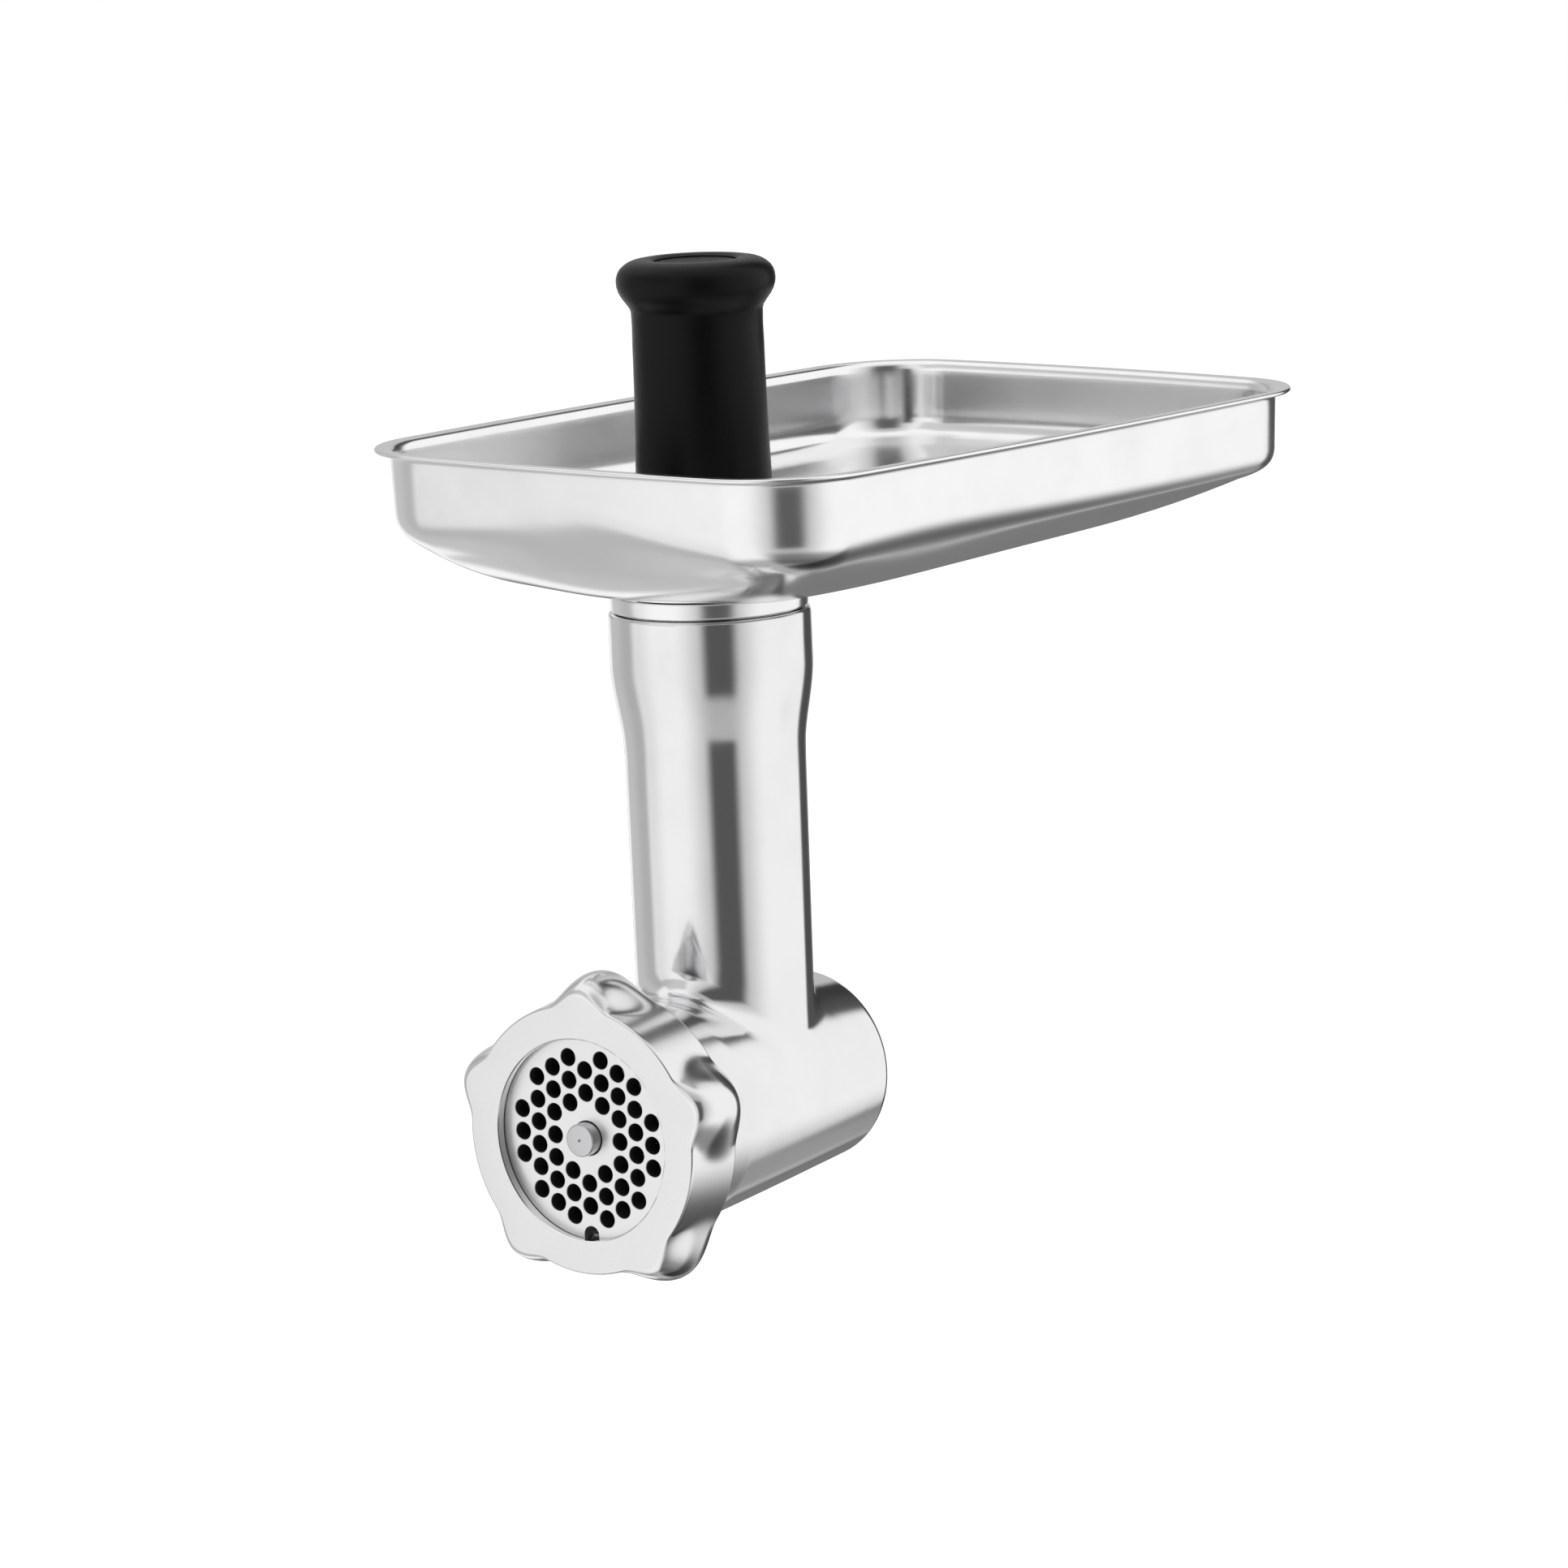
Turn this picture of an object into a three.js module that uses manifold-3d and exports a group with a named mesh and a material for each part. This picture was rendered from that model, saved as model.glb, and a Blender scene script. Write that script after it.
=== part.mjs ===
// Meat grinder head for a stand mixer: a cast housing with a feed tube, an auger, a four-blade
// knife and a perforated plate held by a ring nut, a feed tray on a collar, and a pusher.
// Millimetres. The barrel lies along Y with the plate facing -Y, the feed tube stands along +Z,
// and the origin is the centre of the seat that meets the mixer's hub.
import * as THREE from 'three';
import { ParametricGeometry } from 'three/addons/geometries/ParametricGeometry.js';
import { mergeVertices } from 'three/addons/utils/BufferGeometryUtils.js';
import Module from 'manifold-3d';

const wasm = await Module();
wasm.setup();

// ---------------------------------------------------------------- driving dimensions

// Clearances: between pieces at rest on each other, and round a shaft that turns.
const restGap = 0.3;
const runningGap = 0.3;

// Barrel casting. Its length runs from the hub seat to the plate's front face.
const barrelLength = 97.5;
const barrelConeLength = 67.5;
const rearRounding = 3.5;
const bossWall = 3.5;
const bossLength = 10.5;
const bossChamfer = 0.8;
const plateProud = 0.5;
const barrelWall = 2.4;
const chamberWall = 3.5;
const hubRim = 4.9;
const chamberTaper = 2.5;
const rearWall = 13;
const ribHeight = 0.8;
const ribWidth = 2.4;
const ribAngles = [200, 235, 270, 305, 340];

// Feed tube, standing on the barrel.
const tubeFromSeat = 37.2;
const tubeTop = 123.3;
const tubeRootRadius = 22.2;
const tubeDraft = 0.5;
const tubeFlare = 2.7;
const tubeFlareDepth = 37.3;
const tubeBandDepth = 11.3;
const tubeWall = 1.8;
const mouthWall = 2.1;
const mouthRounding = 1.1;
const socketDepth = 18;

// Grinding plate with a hexagonal field of holes.
const plateRadius = 26.9;
const plateThickness = 5.2;
const holePitch = 5.7;
const holeRadius = 2.2;
const innerHoleRing = 2;
const holeMargin = 0.5;
const plateNotchRadius = 2.25;
const plateNotchDepth = 4.75;

// Ring nut.
const ringFrontLip = 2.64;
const plateLap = 1.6;
const ringLength = 16.3;
const ringFrontWall = 2.8;
const ringRearWall = 4.4;
const lobeCount = 5;
const firstLobeAngle = 16.4;
const lobeFrontHeight = 3.0;
const lobeRearHeight = 2.9;
const lobeSwell = 3.5;
const lobeFrontHalfAngle = 15;
const lobeRearHalfAngle = 18;
const lobeSharpness = 1.2;
const ringEdgeRounding = 0.9;

// Auger, knife and the shafts that carry them.
const augerTipClearance = 1.3;
const augerPitch = 25;
const augerRearCore = 9.5;
const augerFrontCore = 12;
const crestHalfAngle = 14;
const flankAngle = 34;
const knifeThickness = 6.5;
const knifeHubRadius = 8.8;
const bladeThickness = 3.6;
const bladeRootWidth = 9;
const bladeTipWidth = 6.5;
const bladeCount = 4;
const knifeTipClearance = 0.6;
const plateLedge = 2.2;
const augerLedge = 2.8;
const knifeSquare = 8.4;
const pinRadius = 4.1;
const pinProud = 3.4;
const studRadius = 5;
const studDepth = 16;
const journalRadius = 8;
const shankSquare = 9.5;
const shankLength = 20;
const shankSpigotRadius = 5.5;
const shankSpigotDepth = 22;
const crossPinRadius = 1.5;
const crossPinPlace = 9;
const thrustWasherThickness = 1.2;
const thrustWasherRadius = 13;

// Bayonet adapter at the hub seat, with its gasket, screws, bush and seal.
const adapterFlange = 4;
const adapterNeckWall = 2.7;
const adapterNeckLength = 9;
const lugHeight = 3.6;
const lugThickness = 3.6;
const lugSetback = 1;
const lugHalfAngle = 17;
const lugCount = 3;
const gasketThickness = 0.8;
const gasketInset = 0.6;
const bushWall = 2.1;
const sealLength = 2.6;
const bushSetback = 1.5;
const screwHeadGap = 0.5;
const screwRim = 0.7;
const screwHeadRadius = 2.4;
const screwHeadHeight = 1.9;
const screwShankRadius = 1.4;
const screwLength = 10.5;
const screwSocketRadius = 1.25;
const screwSocketDepth = 1.1;
const screwAngles = [30, 150, 270];

// Plate key, a pin at the foot of the plate seat.
const keyRadius = 1.75;
const keySunk = 2;
const keyDepth = 4.5;

// Tray: a drawn sheet pan on a short neck. Its long side runs back over the barrel.
const trayTurn = -6.2;
const trayHalfWidth = 77;
const trayHalfLength = 106.9;
const trayCentreBack = 51.9;
const trayCornerRadius = 28.4;
const trayDepth = 37.3;
const trayFlange = 4;
const traySheet = 1.2;
const trayWallRounding = 10;
const trayWallDraft = 2;
const trayBow = 1.8;
const trayFloorRise = 11.6;
const trayFloorSag = 2.6;
const trayFloorSlope = 0.02;
const trayNeckInset = 0.35;
const trayNeckHeight = 0.3;
const trayNeckFlare = 3.6;
const trayNeckRise = 1;

// Collar that carries the tray in the mouth of the feed tube.
const collarInset = 0.65;
const collarHeight = 4.2;
const spigotWall = 1.1;
const spigotClearance = 0.3;

// Pusher.
const pusherProud = 45.6;
const pusherFootGap = 1.4;
const pusherClearance = 1.6;
const pusherGripRadius = 16.4;
const pusherHeadRadius = 19.9;
const pusherHeadHeight = 14.5;
const pusherGripDepth = 61;
const pusherRimRadius = 11.6;
const pusherCapRadius = 10.2;
const pusherCapThickness = 2.4;
const pusherCapSunk = 0.9;
const pusherWall = 4;

// Facets round a full turn, for large and small turned pieces.
const wide = 64;
const medium = 40;
const fine = 24;

// ---------------------------------------------------------------- places that follow

const plateFace = -barrelLength;
const plateBack = plateFace + plateThickness;
const housingFront = plateFace + plateProud;
const plateSeat = plateBack + restGap;
const knifeFront = plateBack + restGap;
const knifeBack = knifeFront + knifeThickness;
const augerFront = knifeBack + restGap;
const augerRear = -rearWall - thrustWasherThickness - 2 * restGap;
const ringFace = plateFace - restGap - ringFrontLip;
const seatRadius = plateRadius + restGap;
const bossRadius = seatRadius + bossWall;
const knifeChamberRadius = seatRadius - plateLedge;
const barrelFrontRadius = knifeChamberRadius + chamberWall;
const augerBoreRadius = knifeChamberRadius - augerLedge;
const augerRadius = augerBoreRadius - augerTipClearance;
const ringOpeningRadius = plateRadius - plateLap;
const ringBoreRadius = bossRadius + restGap;
const ringFrontRadius = ringBoreRadius + ringFrontWall;
const ringRearRadius = ringBoreRadius + ringRearWall;
const gasketRear = -adapterFlange - restGap;
const recessFloor = gasketRear - gasketThickness - restGap;
const bushInner = journalRadius + runningGap;
const bushOuter = bushInner + bushWall;
const bushBore = bushOuter + restGap;
const adapterNeckRadius = bushBore + adapterNeckWall;
const lugRadius = adapterNeckRadius + lugHeight;
const screwCircleRadius = adapterNeckRadius + screwHeadRadius + screwHeadGap;
const adapterRadius = screwCircleRadius + screwHeadRadius + screwRim;
const recessRadius = adapterRadius + restGap;
const barrelRearRadius = Math.max(recessRadius + hubRim, augerBoreRadius + barrelWall);
const sealFront = -rearWall + restGap;
const bushFront = sealFront + sealLength + restGap;
const bushRear = adapterNeckLength - bushSetback;
const tubeNeckRadius = tubeRootRadius + tubeDraft;
const tubeMouthRadius = tubeNeckRadius + tubeFlare;
const tubeFlareStart = tubeTop - tubeFlareDepth;
const tubeFlareEnd = tubeTop - tubeBandDepth;
const tubeBoreRadius = tubeRootRadius - tubeWall;
const socketRadius = tubeMouthRadius - mouthWall;
const spigotOuter = socketRadius - spigotClearance;
const spigotInner = spigotOuter - spigotWall;
const collarFoot = tubeTop + restGap;
const collarTop = collarFoot + collarHeight;
const collarRadius = tubeMouthRadius - collarInset;
const trayFoot = collarTop + restGap;
const trayTop = trayFoot + trayDepth;
const trayNeckRadius = collarRadius - trayNeckInset;
const pusherFoot = augerRadius + pusherFootGap;
const pusherFootRadius = tubeBoreRadius - pusherClearance;
const pusherTop = trayTop + pusherProud;
const pusherGripStart = pusherTop - pusherGripDepth;
const degrees = Math.PI / 180;

// ---------------------------------------------------------------- shaping helpers

// A turned solid about Y from [radius, height] pairs that start and end on the axis or close.
function turned(profile, sides) {
  return new THREE.LatheGeometry(profile.map(([r, y]) => new THREE.Vector2(r, y)), sides);
}

// The same about Z, for what stands in the feed tube.
function upright(profile, sides) {
  return turned(profile, sides).rotateX(Math.PI / 2);
}

// A washer or sleeve about Y.
function sleeve(inner, outer, from, to, sides) {
  return turned([[inner, from], [outer, from], [outer, to], [inner, to], [inner, from]], sides);
}

// A plain round bar about Y.
function bar(radius, from, to, sides) {
  return turned([[0, from], [radius, from], [radius, to], [0, to]], sides);
}

// A flat outline in X and Z, given as a Shape in X and Y, made thick from one Y to another.
function slab(shape, from, to, steps = 1, curveSegments = 8) {
  const options = { depth: to - from, bevelEnabled: false, steps, curveSegments };
  return new THREE.ExtrudeGeometry(shape, options).rotateX(Math.PI / 2).translate(0, to, 0);
}

function squareShape(side) {
  const h = side / 2;
  const corners = [[-h, -h], [h, -h], [h, h], [-h, h]];
  return new THREE.Shape(corners.map(([x, y]) => new THREE.Vector2(x, y)));
}

// Points of an arc, as [radius, height] pairs, about a centre, between two angles in degrees.
function arc(centreR, centreY, radius, start, end, count) {
  return Array.from({ length: count + 1 }, (_, i) => {
    const a = (start + ((end - start) * i) / count) * degrees;
    return [centreR + radius * Math.cos(a), centreY + radius * Math.sin(a)];
  });
}

function smooth(t) {
  const s = Math.min(1, Math.max(0, t));
  return s * s * (3 - 2 * s);
}

function mix(a, b, t) {
  return a + (b - a) * t;
}

// A geometry as a closed solid, its shared corners joined and its faces turned outward.
function solid(geometry) {
  const bare = geometry.clone();
  bare.deleteAttribute('normal');
  bare.deleteAttribute('uv');
  const welded = mergeVertices(bare, 1e-4);
  const corners = welded.index.array;
  const triangles = [];
  for (let i = 0; i < corners.length; i += 3) {
    const [a, b, c] = corners.subarray(i, i + 3);
    if (a !== b && b !== c && c !== a) triangles.push(a, b, c);
  }
  const spots = welded.attributes.position;
  const [p, q, r] = [new THREE.Vector3(), new THREE.Vector3(), new THREE.Vector3()];
  let volume = 0;
  for (let i = 0; i < triangles.length; i += 3) {
    p.fromBufferAttribute(spots, triangles[i]);
    q.fromBufferAttribute(spots, triangles[i + 1]);
    r.fromBufferAttribute(spots, triangles[i + 2]);
    volume += p.dot(q.cross(r));
  }
  if (volume < 0) triangles.reverse();
  const vertProperties = new Float32Array(spots.array);
  const triVerts = new Uint32Array(triangles);
  return new wasm.Manifold(new wasm.Mesh({ numProp: 3, vertProperties, triVerts }));
}

function join(first, ...others) {
  return others.reduce((whole, piece) => whole.add(solid(piece)), solid(first));
}

function cut(body, ...tools) {
  return tools.reduce((whole, tool) => whole.subtract(solid(tool)), body);
}

function geometryOf(body) {
  const mesh = body.getMesh();
  const geometry = new THREE.BufferGeometry();
  geometry.setAttribute('position', new THREE.BufferAttribute(mesh.vertProperties.slice(), 3));
  geometry.setIndex(new THREE.BufferAttribute(mesh.triVerts.slice(), 1));
  geometry.computeVertexNormals();
  return geometry;
}

// ---------------------------------------------------------------- materials

function finish(color, roughness, metalness) {
  return new THREE.MeshStandardMaterial({ color, roughness, metalness });
}

const polished = finish(0xd9dadb, 0.12, 1);
const satin = finish(0xc4c5c6, 0.38, 1);
const machined = finish(0xb4b5b7, 0.3, 1);
const zinc = finish(0xb9bcc0, 0.35, 1);
const acetal = finish(0xe4e2da, 0.45, 0);
const blackPlastic = finish(0x1c1c1e, 0.5, 0);
const darkRubber = finish(0x2a2a2c, 0.8, 0);

// ---------------------------------------------------------------- housing

function barrelBody() {
  const flat = barrelRearRadius - rearRounding;
  const coneEnd = -barrelConeLength;
  const bossRear = housingFront + bossLength;
  return turned([
    [0, 0],
    ...arc(flat, -rearRounding, rearRounding, 90, 0, 5),
    [mix(barrelRearRadius, barrelFrontRadius, 0.56), coneEnd * 0.5],
    [barrelFrontRadius, coneEnd],
    [barrelFrontRadius, bossRear],
    [bossRadius, bossRear - (bossRadius - barrelFrontRadius)],
    [bossRadius, housingFront + bossChamfer],
    [bossRadius - bossChamfer, housingFront],
    [0, housingFront],
  ], wide);
}

function tubeRadiusAt(z) {
  const taper = mix(tubeRootRadius, tubeNeckRadius, z / tubeFlareStart);
  const flare = smooth((z - tubeFlareStart) / (tubeFlareEnd - tubeFlareStart));
  return mix(Math.min(taper, tubeNeckRadius), tubeMouthRadius, flare);
}

function tubeBody() {
  const rings = 6;
  const flare = Array.from({ length: rings + 1 }, (_, i) => {
    const z = mix(tubeFlareStart, tubeFlareEnd, i / rings);
    return [tubeRadiusAt(z), z];
  });
  return upright([
    [0, 0],
    [tubeRootRadius, 0],
    ...flare,
    ...arc(tubeMouthRadius - mouthRounding, tubeTop - mouthRounding, mouthRounding, 0, 90, 3),
    [0, tubeTop],
  ], 48).translate(0, -tubeFromSeat, 0);
}

function barrelBore() {
  const past = 1;
  return turned([
    [0, housingFront - past],
    [seatRadius, housingFront - past],
    [seatRadius, plateSeat],
    [knifeChamberRadius, plateSeat],
    [knifeChamberRadius, augerFront],
    [augerBoreRadius, augerFront + chamberTaper],
    [augerBoreRadius, -rearWall],
    [bushBore, -rearWall],
    [bushBore, recessFloor],
    [recessRadius, recessFloor],
    [recessRadius, past],
    [0, past],
  ], wide);
}

function tubeBore() {
  const past = 1;
  const shoulder = tubeTop - socketDepth - restGap;
  return upright([
    [0, 0],
    [tubeBoreRadius, 0],
    [tubeBoreRadius, shoulder - (socketRadius - tubeBoreRadius)],
    [socketRadius, shoulder],
    [socketRadius, tubeTop + past],
    [0, tubeTop + past],
  ], medium).translate(0, -tubeFromSeat, 0);
}

// One straight rib on the barrel's bore, which stops the meat turning with the auger.
function boreRib(angle) {
  const length = augerRear - augerFront - 2 * chamberTaper;
  const sunk = ribHeight;
  const rib = new THREE.BoxGeometry(ribHeight + sunk, length, ribWidth);
  rib.translate(augerBoreRadius - (ribHeight - sunk) / 2, (augerRear + augerFront) / 2, 0);
  return rib.rotateY(-angle * degrees);
}

function screwHole() {
  const radius = screwShankRadius + restGap;
  return bar(radius, -screwLength - restGap - screwHeadHeight, 0, 12);
}

function keyHole() {
  const hole = bar(keyRadius + restGap, housingFront - 1, plateSeat + keyDepth + restGap, 16);
  return hole.translate(0, 0, -keyCentre());
}

// The key pin stands just outside the plate's seat, halfway into its wall.
function keyCentre() {
  return seatRadius - keyRadius / 2;
}

function aroundScrews(make) {
  return screwAngles.map((angle) => {
    const piece = make();
    piece.translate(screwCircleRadius, 0, 0);
    return piece.rotateY(-angle * degrees);
  });
}

function housing() {
  const skin = join(barrelBody(), tubeBody());
  const hollow = cut(skin, barrelBore(), tubeBore());
  const ribbed = ribAngles.reduce((whole, angle) => whole.add(solid(boreRib(angle))), hollow);
  return cut(ribbed, keyHole(), ...aroundScrews(screwHole));
}

// ---------------------------------------------------------------- hub adapter

function lugShape() {
  const shape = new THREE.Shape();
  const inner = adapterNeckRadius - 1;
  const half = lugHalfAngle * degrees;
  shape.absarc(0, 0, lugRadius, -half, half, false);
  shape.absarc(0, 0, inner, half, -half, true);
  shape.closePath();
  return shape;
}

function hubAdapter() {
  const body = join(turned([
    [bushBore, -adapterFlange],
    [adapterRadius, -adapterFlange],
    [adapterRadius, 0],
    [adapterNeckRadius, 0],
    [adapterNeckRadius, adapterNeckLength],
    [bushBore, adapterNeckLength],
    [bushBore, -adapterFlange],
  ], 48));
  const lugRear = adapterNeckLength - lugSetback;
  const lugs = Array.from({ length: lugCount }, (_, i) => {
    const lug = slab(lugShape(), lugRear - lugThickness, lugRear, 1, 5);
    return lug.rotateY((-90 + (i * 360) / lugCount) * degrees);
  });
  const studded = lugs.reduce((whole, lug) => whole.add(solid(lug)), body);
  const headRoom = screwHeadRadius + restGap;
  const pockets = aroundScrews(() => bar(headRoom, -screwHeadHeight - restGap, 1, 16));
  return cut(studded, ...aroundScrews(screwHole), ...pockets);
}

function adapterScrew() {
  const body = join(turned([
    [0, -screwHeadHeight - screwLength + restGap],
    [screwShankRadius, -screwHeadHeight - screwLength + restGap],
    [screwShankRadius, -screwHeadHeight],
    [screwHeadRadius, -screwHeadHeight],
    [screwHeadRadius, -screwHeadHeight * 0.3],
    [screwHeadRadius * 0.7, 0],
    [0, 0],
  ], 14));
  return cut(body, bar(screwSocketRadius, -screwSocketDepth, 1, 6));
}

function adapterGasket() {
  const inner = bushBore + gasketInset;
  const body = join(sleeve(inner, adapterRadius, gasketRear - gasketThickness, gasketRear, 48));
  return cut(body, ...aroundScrews(screwHole));
}

// ---------------------------------------------------------------- auger, knife and shafts

// The auger's radius at an angle off the flight's crest and a place along its length.
function augerRadiusAt(offCrest, along) {
  const core = mix(augerRearCore, augerFrontCore, along);
  const flank = (Math.abs(offCrest) - crestHalfAngle) / flankAngle;
  return mix(augerRadius, core, Math.min(1, Math.max(0, flank)));
}

// Vertices follow the flight, so its crest stays sharp: angles off the crest, in degrees.
const flightAngles = [
  -crestHalfAngle,
  0,
  crestHalfAngle,
  crestHalfAngle + flankAngle,
  80, 112, 146, 180, 214, 248, 280,
  360 - crestHalfAngle - flankAngle,
];

function auger() {
  const length = augerRear - augerFront;
  const turns = length / augerPitch;
  const steps = Math.ceil(turns * 14);
  const around = flightAngles.length;
  const surface = (u, v, target) => {
    const row = Math.round(v * (steps + 2));
    const along = Math.min(1, Math.max(0, (row - 1) / steps));
    const offCrest = flightAngles[Math.round(u * around) % around];
    const wrapped = offCrest > 180 ? offCrest - 360 : offCrest;
    const onAxis = row === 0 || row === steps + 2;
    const radius = onAxis ? 0 : augerRadiusAt(wrapped, along);
    const angle = (offCrest - along * turns * 360) * degrees;
    const y = augerRear - along * length;
    target.set(radius * Math.sin(angle), y, radius * Math.cos(angle));
  };
  const screw = solid(new ParametricGeometry(surface, around, steps + 2));
  const past = 1;
  const rearHole = bar(shankSpigotRadius + restGap, augerRear - shankSpigotDepth - restGap,
    augerRear + past, fine);
  const frontHole = bar(studRadius + restGap, augerFront - past,
    augerFront + studDepth + restGap, fine);
  return cut(screw, rearHole, frontHole, crossPin(restGap));
}

// The cross pin, or with a margin the hole that it is driven through.
function crossPin(margin) {
  const half = augerRearCore - 0.5 + margin;
  const pin = bar(crossPinRadius + margin, -half, half, 12);
  return pin.rotateZ(Math.PI / 2).translate(0, augerRear - crossPinPlace, 0);
}

function driveShank() {
  const shoulder = augerRear + restGap;
  const journalEnd = bushRear + bushSetback;
  const body = join(
    bar(shankSpigotRadius, augerRear - shankSpigotDepth, shoulder + 1, fine),
    bar(journalRadius, shoulder, journalEnd, 32),
    slab(squareShape(shankSquare), journalEnd - 1, shankLength),
  );
  return cut(body, crossPin(restGap));
}

function thrustWasher() {
  const front = augerRear + restGap;
  return solid(sleeve(bushInner, thrustWasherRadius, front, front + thrustWasherThickness, 32));
}

function knifeStud() {
  const end = plateFace - pinProud;
  const squareFront = knifeFront + restGap;
  return join(
    bar(studRadius, knifeBack, augerFront + studDepth, fine),
    slab(squareShape(knifeSquare), squareFront, knifeBack),
    turned([
      [0, squareFront + 1],
      [pinRadius, squareFront + 1],
      [pinRadius, end + 0.4],
      [pinRadius - 0.4, end],
      [0, end],
    ], fine),
  );
}

// One blade, standing along +Y of the outline, straight on its cutting edge.
function bladeShape() {
  const tip = knifeChamberRadius - knifeTipClearance;
  const points = [
    [-bladeRootWidth / 2, 3],
    [bladeRootWidth / 2, 3],
    [bladeTipWidth / 2, tip * 0.93],
    [bladeTipWidth * 0.2, tip],
    [-bladeTipWidth / 2, tip * 0.96],
  ];
  return new THREE.Shape(points.map(([x, y]) => new THREE.Vector2(x, y)));
}

function cuttingKnife() {
  const hub = join(bar(knifeHubRadius, knifeFront, knifeBack, 32));
  const blades = Array.from({ length: bladeCount }, (_, i) => {
    const blade = slab(bladeShape(), knifeFront, knifeFront + bladeThickness);
    return blade.rotateY((i * 2 * Math.PI) / bladeCount);
  });
  const whole = blades.reduce((body, blade) => body.add(solid(blade)), hub);
  return cut(whole, slab(squareShape(knifeSquare + 2 * restGap), knifeFront - 1, knifeBack + 1));
}

// ---------------------------------------------------------------- plate, key and ring nut

// Centres of the holes: rings of a hexagonal lattice, the last one without its corners.
function holeCentres() {
  const centres = [];
  const reach = ringOpeningRadius - holeMargin - holeRadius;
  const rings = Math.ceil(plateRadius / holePitch);
  for (let a = -rings; a <= rings; a += 1) {
    for (let b = -rings; b <= rings; b += 1) {
      const ring = Math.max(Math.abs(a), Math.abs(b), Math.abs(a + b));
      const x = a * holePitch * Math.cos(30 * degrees);
      const y = (b + a / 2) * holePitch;
      if (ring >= innerHoleRing && Math.hypot(x, y) <= reach) centres.push([x, y]);
    }
  }
  return centres;
}

function polygonPath(x, y, radius, sides) {
  const points = Array.from({ length: sides }, (_, i) => {
    const a = (i * 2 * Math.PI) / sides;
    return new THREE.Vector2(x + radius * Math.cos(a), y + radius * Math.sin(a));
  });
  return new THREE.Path(points);
}

function grindingPlate() {
  const shape = new THREE.Shape(polygonPath(0, 0, plateRadius, wide).getPoints());
  shape.holes.push(polygonPath(0, 0, pinRadius + 0.25, fine));
  holeCentres().forEach(([x, y]) => shape.holes.push(polygonPath(x, y, holeRadius, 8)));
  const disc = slab(shape, plateFace, plateBack);
  const centre = plateNotchDepth - plateNotchRadius - plateRadius;
  const notch = new THREE.Shape();
  notch.absarc(0, centre, plateNotchRadius, Math.PI, 0, true);
  notch.lineTo(plateNotchRadius, -plateRadius - 1);
  notch.lineTo(-plateNotchRadius, -plateRadius - 1);
  return cut(join(disc), slab(notch, plateFace - 1, plateBack + 1));
}

function plateKey() {
  const key = bar(keyRadius, plateFace + keySunk, plateSeat + keyDepth, 16);
  return solid(key.translate(0, 0, -keyCentre()));
}

// A lobe's share of its full height, from 1 on its crest to 0 where it meets the ring.
function lobeShare(angle, halfAngle) {
  const step = 360 / lobeCount;
  const turn = (((angle - firstLobeAngle) % step) + step) % step;
  const off = Math.min(turn, step - turn);
  return smooth(1 - off / halfAngle) ** lobeSharpness;
}

// How far the lobes have swollen at a share of the ring's depth, fullest halfway.
function swellAt(along) {
  return (4 * along * (1 - along)) ** 0.7;
}

function ringNut() {
  const around = lobeCount * 16;
  // Depth along the ring and inward rounding, row by row from the front face to the rear.
  const depths = [0, 0.3 * ringEdgeRounding, ringEdgeRounding, ringLength * 0.2,
    ringLength * 0.35, ringLength * 0.5, ringLength * 0.75, ringLength - ringEdgeRounding,
    ringLength];
  const insets = [1, 0.3, 0, 0, 0, 0, 0, 0, 0.7].map((i) => i * ringEdgeRounding);
  const rows = depths.length;
  const surface = (u, v, target) => {
    const row = Math.round(v * (rows + 1));
    const angle = (u * 360) % 360;
    const k = Math.min(rows - 1, Math.max(0, row - 1));
    const along = depths[k] / ringLength;
    const halfAngle = mix(lobeFrontHalfAngle, lobeRearHalfAngle, along);
    const crest = mix(lobeFrontHeight, lobeRearHeight, along) + lobeSwell * swellAt(along);
    const height = crest * lobeShare(angle, halfAngle);
    const full = mix(ringFrontRadius, ringRearRadius, along) + height - insets[k];
    const radius = row === 0 || row === rows + 1 ? 0 : full;
    const a = angle * degrees;
    target.set(radius * Math.cos(a), ringFace + depths[k], radius * Math.sin(a));
  };
  const body = solid(new ParametricGeometry(surface, around, rows + 1));
  const past = 1;
  const bore = turned([
    [0, ringFace - past],
    [ringOpeningRadius, ringFace - past],
    [ringOpeningRadius, ringFace + ringFrontLip],
    [ringBoreRadius, ringFace + ringFrontLip],
    [ringBoreRadius, ringFace + ringLength + past],
    [0, ringFace + ringLength + past],
  ], wide);
  return cut(body, bore);
}

// ---------------------------------------------------------------- tray and collar

function trayCollar() {
  return solid(upright([
    [spigotInner, tubeTop - socketDepth],
    [spigotOuter, tubeTop - socketDepth],
    [spigotOuter, collarFoot],
    [collarRadius - 0.5, collarFoot],
    [collarRadius, collarFoot + 0.5],
    [collarRadius, collarTop - 0.5],
    [collarRadius - 0.5, collarTop],
    [spigotInner, collarTop],
    [spigotInner, tubeTop - socketDepth],
  ], 48));
}

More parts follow.
